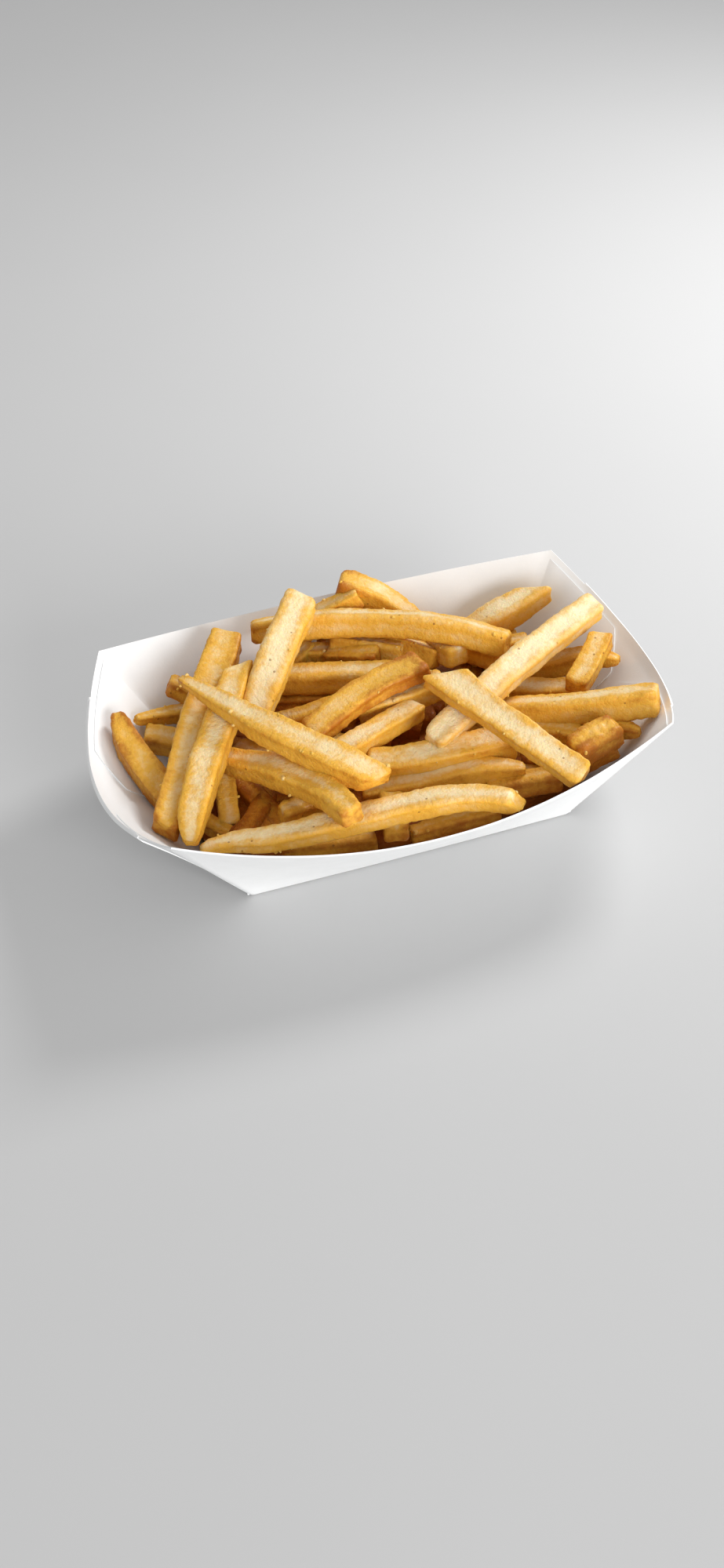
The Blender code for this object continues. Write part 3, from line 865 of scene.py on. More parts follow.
@dataclass
class Tray:
    """The folded tray: one sheet with a base and four leaning panels, and glued end layers.

    A share runs across a panel, from 0 at its middle to 1 at its side folds.  A level runs up it,
    from 0 at the base to 1 at the rim.  slant is how much further a wall's thickness reaches when
    it is measured level.  A backing is what a glued layer has beyond its board, sunk in the sheet.
    """

    base_half_length: float = 52.2
    base_half_width: float = 30.9
    corner_x: float = 77.0
    corner_y: float = 46.8
    corner_z: float = 43.9
    end_x: float = 90.2
    end_z: float = 31.2
    side_y: float = 60.7
    side_z: float = 35.0
    board: float = 0.55
    slant: float = 1.4
    panel_rise: float = 0.9
    panel_rim_share: float = 0.70
    panel_base_share: float = 0.97
    panel_rise_share: float = 0.02
    panel_foot: float = 0.02
    panel_backing: float = 0.1
    flap_board: float = 0.4
    flap_low_share: float = 0.06
    flap_top_share: float = 0.33
    flap_fold_share: float = 0.985
    flap_fade: float = 0.06
    flap_least: float = 0.05
    flap_foot: float = 0.015
    flap_start: float = 0.03
    flap_knee: float = 0.75
    flap_top: float = 0.955
    flap_backing: float = 0.15
    ramp_level: float = 0.3
    end_columns: int = 48
    side_columns: int = 56
    wall_rows: int = 26
    base_rows: int = 6
    flap_columns: int = 30
    flap_rows: int = 24
    panel_columns: int = 48
    panel_rows: int = 22
    fold_radius: float = 1.1
    fold_angle: float = 30.0
    crisp_angle: float = 40.0
    facing_tilt: float = 0.4
    wall_gap: float = 0.1
    level_passes: int = 6
    waves: tuple = (Wave(32.0, 0.35, 3.0), Wave(11.0, 0.10, 7.0))

    def side(self, t: np.ndarray, level: np.ndarray, sign: float) -> np.ndarray:
        """Points of a long panel.

        Args:
            t: Where along it, -1 to 1.
            level: How far up it, 0 to 1.
            sign: 1 for the far panel, -1 for the near one.

        Returns:
            The points in millimetres, shape (n, 3).
        """
        rim_y = self.side_y - (self.side_y - self.corner_y) * t * t
        rim_z = self.side_z + (self.corner_z - self.side_z) * t * t
        x = t * (self.base_half_length + (self.corner_x - self.base_half_length) * level)
        y = self.base_half_width + (rim_y - self.base_half_width) * level
        return np.stack([x, y * sign, rim_z * level], axis=1)

    def end(self, t: np.ndarray, level: np.ndarray, sign: float) -> np.ndarray:
        """Points of an end panel.

        Args:
            t: Where across it, -1 to 1.
            level: How far up it, 0 to 1.
            sign: 1 for the panel at +X, -1 for the other.

        Returns:
            The points in millimetres, shape (n, 3).
        """
        rim_x = self.end_x - (self.end_x - self.corner_x) * t * t
        rim_z = self.end_z + (self.corner_z - self.end_z) * t * t
        y = t * (self.base_half_width + (self.corner_y - self.base_half_width) * level)
        x = self.base_half_length + (rim_x - self.base_half_length) * level
        return np.stack([x * sign, y, rim_z * level], axis=1)

    def end_outward(self, t: np.ndarray, level: np.ndarray, sign: float) -> np.ndarray:
        """The outward directions of an end panel, from points a small step to either side.

        Args:
            t: Where across it, -1 to 1.
            level: How far up it, 0 to 1.
            sign: 1 for the panel at +X, -1 for the other.

        Returns:
            Unit directions, shape (n, 3).
        """
        step = 0.01
        along = self.end(t + step, level, sign) - self.end(t - step, level, sign)
        up = self.end(t, np.ones_like(t), sign) - self.end(t, np.zeros_like(t), sign)
        normal = np.cross(along, up) * sign
        return normal / np.linalg.norm(normal, axis=1)[:, None]

    def walls(self) -> tuple:
        """The four panels in the order in which the rim runs: panel, sign, columns and way of t."""
        return ((self.end, 1.0, self.end_columns, 1.0), (self.side, 1.0, self.side_columns, -1.0),
                (self.end, -1.0, self.end_columns, -1.0), (self.side, -1.0, self.side_columns, 1.0))

    def keep_inside(self, points: np.ndarray) -> np.ndarray:
        """Presses points that would enter the walls back to their inner face.

        Args:
            points: Points in millimetres, shape (n, 3).

        Returns:
            The points, moved where they had to be.
        """
        kept = points.copy()
        room = (self.board + self.flap_board + self.wall_gap) * self.slant
        panels = ((0, 1, self.end_z, self.base_half_length, self.end_x, self.corner_x,
                   self.base_half_width, self.corner_y),
                  (1, 0, self.side_z, self.base_half_width, self.side_y, self.corner_y,
                   self.base_half_length, self.corner_x))
        for outward, along, mid_z, foot, mid_out, corner_out, foot_along, corner_along in panels:
            level = kept[:, 2] / mid_z
            for _ in range(self.level_passes):
                reach = foot_along + (corner_along - foot_along) * level
                t = np.clip(kept[:, along] / reach, -1.0, 1.0)
                level = kept[:, 2] / (mid_z + (self.corner_z - mid_z) * t * t)
            rim = mid_out - (mid_out - corner_out) * t * t
            limit = foot + (rim - foot) * level - room
            inside = np.clip(kept[:, outward], -limit, limit)
            kept[:, outward] = np.where(level < 1.0, inside, kept[:, outward])
        return kept

    def shell_place(self, along: np.ndarray, across: np.ndarray) -> np.ndarray:
        """Points of the outer face of the sheet.

        Args:
            along: Where round the tray, 0 to 1.
            across: Where from the base's middle to the rim, 0 to 1.

        Returns:
            The points in millimetres, shape (n, 3).
        """
        columns = 2 * (self.end_columns + self.side_columns)
        column = np.rint(along * columns).astype(int) % columns
        total_rows = self.base_rows + self.wall_rows
        row = np.rint(across * total_rows).astype(int)
        level = np.clip((row - self.base_rows) / self.wall_rows, 0.0, 1.0)
        inward = np.clip(row / self.base_rows, 0.0, 1.0)
        points = np.zeros((len(along), 3))
        first = 0
        for panel, sign, count, way in self.walls():
            chosen = (column >= first) & (column < first + count)
            t = way * (-1.0 + 2.0 * (column[chosen] - first) / count)
            points[chosen] = panel(t, level[chosen], sign)
            if panel == self.end:
                share = np.clip((self.panel_rim_share - np.abs(t)) / self.panel_rise_share, 0.0, 1.0)
                points[chosen, 2] += self.panel_rise * share * (level[chosen] >= 1.0)
            first += count
        points[:, :2] *= inward[:, None]
        return points

    def soften(self, item: bpy.types.Object) -> None:
        """Gives the flat sheet the slight waves of real board, most at the rim.

        Args:
            item: The sheet.
        """
        points = read_points(item) / MM
        lift = np.clip(points[:, 2] / self.side_z, 0.0, 1.0)
        outward = points[:, :2] / np.maximum(np.linalg.norm(points[:, :2], axis=1), 1.0)[:, None]
        heights = sum(smooth_noise(points, wave.length, wave.seed) * wave.height for wave in self.waves)
        points[:, :2] += outward * (heights * lift)[:, None]
        write_points(item, points)

    def build_shell(self) -> bpy.types.Object:
        """The one sheet: folded edges rounded, waves added, board given its thickness.

        Returns:
            The sheet.
        """
        shell = shaped_grid("tray_shell", 2 * (self.end_columns + self.side_columns),
                            self.base_rows + self.wall_rows, self.shell_place)
        close_seams(shell)
        apply_modifier(shell, "BEVEL", width=self.fold_radius * MM, segments=3, limit_method="ANGLE",
                       angle_limit=math.radians(self.fold_angle))
        self.soften(shell)
        apply_modifier(shell, "SOLIDIFY", thickness=self.board * MM, offset=-1.0, use_even_offset=True)
        return shell

    def flap_edge(self, level: np.ndarray) -> np.ndarray:
        """Where a flap's cut edge is: straight up to the knee, then slanting from the middle."""
        slope = (self.flap_top_share - self.flap_low_share) / (self.flap_top - self.flap_knee)
        return self.flap_low_share + slope * np.maximum(level - self.flap_knee, 0.0)

    def build_flap(self, sign: float, turn: float) -> bpy.types.Object:
        """One glued flap on the inside of an end panel, its back edge sunk in the board.

        Args:
            sign: 1 for the end at +X, -1 for the other.
            turn: 1 for the flap at +Y, -1 for the other.

        Returns:
            The flap.
        """
        def place(along: np.ndarray, across: np.ndarray) -> np.ndarray:
            level = across * self.flap_top
            low = self.flap_edge(level)
            t = turn * (low + (self.flap_fold_share - low) * along)
            thick = np.clip((1.0 - along) / self.flap_fade, self.flap_least, 1.0)
            depth = (self.board + self.flap_board * thick) * np.clip(level / self.flap_start, 0.0, 1.0)
            points = self.end(t, np.maximum(level, self.flap_foot), sign)
            return points - self.end_outward(t, level, sign) * depth[:, None]
        flap = shaped_grid("flap", self.flap_columns, self.flap_rows, place)
        face_towards(flap, (-sign, 0.0, self.facing_tilt))
        apply_modifier(flap, "SOLIDIFY", thickness=(self.flap_board + self.flap_backing) * MM, offset=-1.0)
        return flap

    def build_end_panel(self, sign: float) -> bpy.types.Object:
        """The outer layer of an end, from fold to rim, its side edges slanting in.

        Args:
            sign: 1 for the end at +X, -1 for the other.

        Returns:
            The layer.
        """
        def place(along: np.ndarray, across: np.ndarray) -> np.ndarray:
            level = self.panel_foot + across * (1.0 - self.panel_foot)
            share = self.panel_base_share + (self.panel_rim_share - self.panel_base_share) * level
            t = (2.0 * along - 1.0) * share
            height = self.board * np.clip(level / self.ramp_level, 0.0, 1.0)
            points = self.end(t, level, sign) + self.end_outward(t, level, sign) * height[:, None]
            points[:, 2] += self.panel_rise * (across >= 1.0)
            return points
        panel = shaped_grid("end_panel", self.panel_columns, self.panel_rows, place)
        face_towards(panel, (sign, 0.0, -self.facing_tilt))
        apply_modifier(panel, "SOLIDIFY", thickness=(self.board + self.panel_backing) * MM, offset=-1.0)
        return panel

    def build(self, groups: Groups) -> None:
        """Builds the sheet and its glued layers as one piece and dresses it.

        Args:
            groups: The shared node groups.
        """
        parts = [self.build_shell()]
        for sign in (1.0, -1.0):
            parts.append(self.build_end_panel(sign))
            for turn in (1.0, -1.0):
                parts.append(self.build_flap(sign, turn))
        tray = join(parts, "paper_tray")
        shade_smooth(tray, self.crisp_angle)
        declare(tray, PaperFinish().material(groups), "tray")


@dataclass
class FryShape:
    """How every fry is shaped: the fineness of its mesh and the unevenness of its skin.

    margin is how far edge nearness reaches from an arris, and sink how deep the flat faces dish.
    end_dish is how far a cut end is hollowed, and cap_upness what its middle counts as in the painted shade
    of the sides.
    cut_reach is how far from an end its lean still counts.  The other reaches are the lengths
    over which scorching and blistering die away.  quiet is what a noise must pass to raise a
    blister.
    """

    tray: Tray
    ring_step: float = 0.75
    fewest_steps: int = 6
    least_radius: float = 0.5
    side_faces: int = 11
    corner_faces: int = 4
    corner_shares: tuple = (0.11, 0.22)
    margin: float = 2.4
    cap_rows: int = 4
    sink: float = 0.22
    bow: float = 0.5
    sag_range: tuple = (-0.5, 0.3)
    roll_spread: float = 5.0
    twist: float = 7.0
    end_girth: float = 0.92
    end_dish: float = 0.45
    blunt_range: tuple = (0.25, 0.9)
    blunt_start: float = 0.92
    blunt_fall: float = 0.065
    cut_spread: float = 0.15
    cut_reach: float = 13.0
    cap_upness: float = 0.35
    scorch_reach: float = 6.0
    blister_reach: float = 9.0
    swell: float = 0.06
    swell_length: float = 9.0
    seed_step: float = 0.61
    bulk: Wave = Wave(12.0, 0.50, 0.0)
    ripple: Wave = Wave(4.5, 0.16, 3.0)
    grain: Wave = Wave(1.6, 0.06, 6.0)
    blisters: Wave = Wave(3.0, 1.1, 9.0)
    crinkles: Wave = Wave(1.9, 0.7, 12.0)
    edge_grain: float = 0.22
    quiet: float = 0.12

    def outline(self, width: float, depth: float, corner_share: float) -> np.ndarray:
        """The section of a fry, corner by corner with the flat stretch after each.

        Args:
            width: Its width.
            depth: Its depth.
            corner_share: The radius of its corners as a share of the smaller of the two.

        Returns:
            A row for each point: across, up, edge nearness, face nearness, outward across and up.
        """
        half_w, half_d = width / 2.0, depth / 2.0
        radius = corner_share * min(width, depth)
        flats = self.side_faces - self.corner_faces
        corners = ((half_w, half_d, 0.0), (-half_w, half_d, 90.0),
                   (-half_w, -half_d, 180.0), (half_w, -half_d, 270.0))
        points = []
        for index, (x, y, start) in enumerate(corners):
            centre = (x - math.copysign(radius, x), y - math.copysign(radius, y))
            for step in range(self.corner_faces + 1):
                angle = math.radians(start + 90.0 * step / self.corner_faces)
                points.append((centre[0] + radius * math.cos(angle), centre[1] + radius * math.sin(angle),
                               1.0, 0.0, math.cos(angle), math.sin(angle)))
            last = points[-1]
            next_x, next_y, turn = corners[(index + 1) % len(corners)]
            angle = math.radians(turn)
            first = (next_x - math.copysign(radius, next_x) + radius * math.cos(angle),
                     next_y - math.copysign(radius, next_y) + radius * math.sin(angle))
            length = math.hypot(first[0] - last[0], first[1] - last[1])
            for step in range(1, flats):
                part = step / flats
                near = max(0.0, 1.0 - min(part, 1.0 - part) * length / self.margin)
                middle = 1.0 - (2.0 * part - 1.0) ** 2
                points.append((last[0] + (first[0] - last[0]) * part, last[1] + (first[1] - last[1]) * part,
                               near, middle, math.cos(angle), math.sin(angle)))
        return np.array(points)

    def centre_line(self, fry: Fry, draw: random.Random) -> tuple:
        """Rings along a fry, on a smooth curve through the points of its path.

        Args:
            fry: The fry.
            draw: The seeded draw that gives its small bow.

        Returns:
            The rings' centres, directions, size factors and distances from the start.
        """
        controls = np.array(fry.path, dtype=float)
        gaps = np.linalg.norm(np.diff(controls, axis=0), axis=1)
        marks = np.concatenate([[0.0], np.cumsum(gaps)])
        total = marks[-1]
        count = max(int(total / self.ring_step), self.fewest_steps)
        places = np.linspace(0.0, total, count + 1)
        padded = np.vstack([2 * controls[0] - controls[1], controls, 2 * controls[-1] - controls[-2]])
        centres = []
        for place in places:
            index = min(int(np.searchsorted(marks, place, side="right")) - 1, len(gaps) - 1)
            share = (place - marks[index]) / gaps[index]
            p0, p1, p2, p3 = padded[index:index + 4]
            centres.append(0.5 * (2 * p1 + (p2 - p0) * share + (2 * p0 - 5 * p1 + 4 * p2 - p3) * share ** 2
                                  + (3 * p1 - p0 - 3 * p2 + p3) * share ** 3))
        centres = np.array(centres)
        shares = places / total
        heading = (controls[-1] - controls[0]) / np.linalg.norm(controls[-1] - controls[0])
        sideways = np.cross(heading, (0.0, 0.0, 1.0))
        sideways /= np.linalg.norm(sideways)
        bend = draw.uniform(-self.bow, self.bow)
        sag = draw.uniform(*self.sag_range) * self.bow
        swell = np.sin(shares * math.pi)
        centres += sideways * (bend * swell)[:, None]
        centres[:, 2] += sag * swell
        directions = np.gradient(centres, axis=0)
        directions /= np.linalg.norm(directions, axis=1)[:, None]
        factors = fry.girth or (self.end_girth,) + (1.0,) * (len(marks) - 2) + (self.end_girth,)
        return centres, directions, np.interp(places, marks, factors), places

    def section_axes(self, fry: Fry, directions: np.ndarray, places: np.ndarray,
                     draw: random.Random) -> tuple:
        """The directions of a fry's section, rolled by its angle and slightly twisted.

        Args:
            fry: The fry.
            directions: Its direction at each ring.
            places: Each ring's distance from the start.
            draw: The seeded draw.

        Returns:
            The across and the up direction at each ring.
        """
        across = np.cross(directions, (0.0, 0.0, 1.0))
        across /= np.linalg.norm(across, axis=1)[:, None]
        upward = np.cross(across, directions)
        turn = fry.roll + draw.uniform(-self.roll_spread, self.roll_spread)
        twist = draw.uniform(-self.twist, self.twist)
        roll = np.radians(turn + twist * (places / places[-1] - 0.5))
        cosine, sine = np.cos(roll)[:, None], np.sin(roll)[:, None]
        return across * cosine + upward * sine, upward * cosine - across * sine

    def end_sizes(self, fry: Fry, places: np.ndarray) -> np.ndarray:
        """How far the section has shrunk towards a rounded end.

        Args:
            fry: The fry.
            places: Each ring's distance from the start.

        Returns:
            One factor for each ring.
        """
        from_end = np.minimum(places, places[-1] - places)
        tips = np.where(places < places[-1] / 2.0, fry.tips[0], fry.tips[1])
        rounding = np.sqrt(np.clip(1.0 - (1.0 - np.clip(from_end / tips, 0.0, 1.0)) ** 2, 0.0, 1.0))
        blunt = np.clip(self.blunt_start - self.blunt_fall * tips, *self.blunt_range)
        return blunt + (1.0 - blunt) * rounding

    def relief(self, points: np.ndarray, edges: np.ndarray, crisp: np.ndarray, seed: int) -> np.ndarray:
        """How far the uneven skin stands out.

        Args:
            points: The points of the smooth skin.
            edges: Their edge nearness.
            crisp: How blistered the fry is at each of them.
            seed: Seed of the fry's own unevenness.

        Returns:
            One height for each point.
        """
        def height(wave: Wave) -> np.ndarray:
            return smooth_noise(points, wave.length, seed * self.seed_step + wave.seed)
        blisters = np.abs(height(self.blisters)) - self.quiet
        crinkles = np.abs(height(self.crinkles)) - self.quiet
        return (height(self.bulk) * self.bulk.height + height(self.ripple) * self.ripple.height
                + height(self.grain) * (self.grain.height + self.edge_grain * edges ** 2)
                + crisp * (blisters * self.blisters.height + crinkles * self.crinkles.height))

    def build(self, fry: Fry, seed: int) -> bpy.types.Object:
        """One fry as a closed skin with its attribute, from a grid rolled round its centre line.

        Args:
            fry: The fry.
            seed: Seed of its own unevenness.

        Returns:
            The new object.
        """
        draw = random.Random(seed)
        outline = self.outline(fry.width, fry.depth, draw.uniform(*self.corner_shares))
        centres, directions, factors, places = self.centre_line(fry, draw)
        across, upward = self.section_axes(fry, directions, places, draw)
        leans = [cut + draw.uniform(-self.cut_spread, self.cut_spread) for cut in fry.cuts]
        phases = [draw.uniform(0.0, 100.0) for _ in range(2)]
        sizes = factors * self.end_sizes(fry, places)
        total = places[-1]
        from_end = np.minimum(places, total - places)

        caps = [index / self.cap_rows for index in range(self.cap_rows)]
        rows = [(0, cap) for cap in caps] + [(index, 1.0) for index in range(len(places))]
        rows += [(len(places) - 1, cap) for cap in reversed(caps)]
        ring_count = len(outline)
        skin = np.zeros((len(rows), ring_count, 4))
        points = np.zeros((len(rows), ring_count, 3))
        sunk = 1.0 - self.sink * outline[:, 3] / (min(fry.width, fry.depth) / 2.0)
        for row, (index, cap) in enumerate(rows):
            size = sizes[index] * cap
            mark = places[index] / self.swell_length
            swells = [1.0 + self.swell * noise.noise(Vector((mark, phase, 0.0))) for phase in phases]
            a = outline[:, 0] * size * swells[0] * sunk
            b = outline[:, 1] * size * swells[1] * sunk
            far = places[index] > total / 2.0
            near = max(0.0, 1.0 - from_end[index] / self.cut_reach)
            lean = (leans[2 * far] * a + leans[2 * far + 1] * b) * near
            dish = (1.0 - cap) * self.end_dish * (-1.0 if far else 1.0)
            points[row] = (centres[index] + across[index] * a[:, None] + upward[index] * b[:, None]
                           + directions[index] * (lean + dish)[:, None])
            # Upness is painted light: sideways and downward faces get painted shade from it, the upper
            # faces a pale painted highlight.
            upness = outline[:, 4] * across[index][2] + outline[:, 5] * upward[index][2]
            skin[row, :, 0] = outline[:, 2] * cap
            skin[row, :, 1] = fry.scorch[int(far)] * math.exp(-from_end[index] / self.scorch_reach)
            skin[row, :, 2] = fry.tone
            skin[row, :, 3] = upness * cap + self.cap_upness * (1.0 - cap)

        flat = points.reshape(-1, 3)
        chosen = [index for index, _ in rows]
        radial = flat - np.repeat(centres[chosen], ring_count, axis=0)
        radial /= np.maximum(np.linalg.norm(radial, axis=1), self.least_radius)[:, None]
        crisp = fry.blister[0] + fry.blister[1] * np.exp(-(total - places[chosen]) / self.blister_reach)
        edges = np.tile(outline[:, 2], len(rows))
        heights = self.relief(flat, edges, np.repeat(crisp, ring_count), seed)
        points = self.tray.keep_inside(flat + radial * heights[:, None]).reshape(points.shape)

        def place(along: np.ndarray, around: np.ndarray) -> np.ndarray:
            row = np.rint(along * (len(rows) - 1)).astype(int)
            column = np.rint(around * ring_count).astype(int) % ring_count
            return points[row, column]
        item = shaped_grid(fry.name, len(rows) - 1, ring_count, place)
        order = np.arange(len(rows) * (ring_count + 1))
        paint_skin(item, skin[order % len(rows), (order // len(rows)) % ring_count])
        return item


@dataclass
class HiddenRoom:
    """Finds room for fries that the photograph's view doesn't reach, so that no other side looks thin.

    A fry counts as a row of round marks.  square widens them for the view, because a fry is
    square, and marks_seen is how many of a new fry's corner points may still show.  overlap is
    how far fries may press into each other, and open_length how much of a new one has to lie
    open above.  shoulder is where its upper face is tested, as a share of its half width.
    """

    tray: Tray
    viewpoint: Viewpoint
    wanted: int = 48
    tries: int = 12000
    seed: int = 11
    low: float = 20.0
    high: float = 34.0
    across_step: float = 4.0
    up_step: float = 3.5
    mark_step: float = 2.0
    free_gap: float = 1.0
    overlap: float = 3.4
    square: float = 1.08
    marks_seen: int = 1
    open_length: float = 5.0
    tested_spots: int = 9
    rim_points: int = 41
    clear_gap: float = 0.3
    shoulder: float = 0.7
    shift: float = 2.0
    tilt: float = 0.18
    half_lengths: tuple = (6.5, 18.0)
    widths: tuple = (6.8, 8.8)
    depths: tuple = (6.4, 8.0)
    tones: tuple = (0.2, 0.75)

    def marks(self, fries: list) -> np.ndarray:
        """Points along the middles of fries.

        Args:
            fries: The fries.

        Returns:
            A row for each mark: its place and the fry's half thickness, shape (n, 4).
        """
        rows = []
        for fry in fries:
            for first, last in zip(fry.path[:-1], fry.path[1:]):
                count = max(2, int(math.dist(first, last) / self.mark_step))
                spots = np.linspace(first, last, count + 1)
                rows.append(np.hstack([spots, np.full((count + 1, 1), (fry.width + fry.depth) / 4.0)]))
        return np.vstack(rows)

    def seen(self, points: np.ndarray, marks: np.ndarray) -> np.ndarray:
        """Which points the photograph's view reaches past the fries and the near wall's rim.

        Args:
            points: The points, shape (n, 3).
            marks: The marks of the fries.

        Returns:
            True for each point that shows.
        """
        spots, screens = self.viewpoint.project(points), self.viewpoint.project(marks[:, :3])
        gaps = np.hypot(spots[:, None, 0] - screens[None, :, 0], spots[:, None, 1] - screens[None, :, 1])
        nearer = screens[None, :, 2] < spots[:, None, 2]
        covered = (nearer & (gaps < (marks[:, 3] * self.square / screens[:, 2])[None, :])).any(axis=1)
        along = np.linspace(-1.0, 1.0, self.rim_points)
        rim = self.viewpoint.project(self.tray.side(along, np.ones_like(along), -1.0))
        return ~covered & (spots[:, 1] > np.interp(spots[:, 0], rim[:, 0], rim[:, 1]))

    def open_above(self, points: np.ndarray, marks: np.ndarray) -> np.ndarray:
        """Which points have no fry above them.

        Args:
            points: The points, shape (n, 3).
            marks: The marks of the fries.

        Returns:
            True for each point that lies open.
        """
        gaps = np.hypot(points[:, None, 0] - marks[None, :, 0], points[:, None, 1] - marks[None, :, 1])
        above = marks[None, :, 2] > points[:, None, 2]
        return ~(above & (gaps < marks[None, :, 3])).any(axis=1)

    def clearance(self, points: np.ndarray, marks: np.ndarray) -> np.ndarray:
        """How far each point is from the nearest fry's skin.

        Args:
            points: The points, shape (n, 3).
            marks: The marks of the fries.

        Returns:
            One distance for each point.
        """
        gaps = np.linalg.norm(points[:, None, :] - marks[None, :, :3], axis=2)
        return (gaps - marks[None, :, 3]).min(axis=1)

    def starts(self, marks: np.ndarray) -> np.ndarray:
        """Places in the tray, on a grid, that are hidden from the view, open above and free.

        Args:
            marks: The marks of the fries.

        Returns:
            The places, shape (n, 3).
        """
        xs = np.arange(-self.tray.corner_x, self.tray.corner_x, self.across_step)
        ys = np.arange(-self.tray.corner_y, self.tray.corner_y, self.across_step)
        zs = np.arange(self.low, self.high, self.up_step)
        grid = np.array(np.meshgrid(xs, ys, zs)).reshape(3, -1).T
        grid = grid[self.clearance(grid, marks) > self.free_gap]
        return grid[~self.seen(grid, marks) & self.open_above(grid, marks)]

    def fits(self, fry: Fry, marks: np.ndarray) -> bool:
        """Whether a fry stays in the tray, clear of the others, out of the view and open above.

        Args:
            fry: The fry that is tried, with a straight path.
            marks: The marks of the fries that are there already.

        Returns:
            True where it can stay.
        """
        spots = np.linspace(fry.path[0], fry.path[1], self.tested_spots)
        heading = (spots[-1] - spots[0]) / np.linalg.norm(spots[-1] - spots[0])
        side = np.cross(heading, (0.0, 0.0, 1.0))
        side *= (fry.width / 2.0 + self.clear_gap) / np.linalg.norm(side)
        lift = np.array((0.0, 0.0, fry.depth / 2.0 + self.clear_gap))
        if self.clearance(spots, marks).min() < fry.depth / 2.0 - self.overlap:
            return False
        corners = np.vstack([spots + side + lift, spots - side + lift,
                             spots + side - lift, spots - side - lift])
        if np.abs(self.tray.keep_inside(corners) - corners).max() > 0.0:
            return False
        if self.seen(corners, marks).sum() > self.marks_seen:
            return False
        inner = side * self.shoulder
        share = self.open_above(np.vstack([spots, spots + inner, spots - inner]) + lift, marks).mean()
        return share * math.dist(*fry.path) > self.open_length

    def find(self, fries: list) -> list:
        """Fries for the hidden room, by a seeded draw.

        Args:
            fries: The fries that are there already.

        Returns:
            The further fries.
        """
        draw = random.Random(self.seed)
        marks = self.marks(fries)
        starts = self.starts(marks)
        found = []
        for _ in range(self.tries):
            start = draw.choice(starts)
            middle = start + [draw.uniform(-self.shift, self.shift) for _ in range(3)]
            heading, tilt = draw.uniform(0.0, math.pi), draw.uniform(-self.tilt, self.tilt)
            direction = np.array((math.cos(heading), math.sin(heading), math.tan(tilt)))
            reach = draw.uniform(*self.half_lengths) * direction
            fry = Fry(f"behind_{len(found):02d}", draw.uniform(*self.widths), draw.uniform(*self.depths),
                      (tuple(middle - reach), tuple(middle + reach)), draw.uniform(*self.tones))
            if self.fits(fry, marks):
                found.append(fry)
                marks = np.vstack([marks, self.marks([fry])])
                if len(found) == self.wanted:
                    break
        log.info("hidden room: %d fries", len(found))
        return found


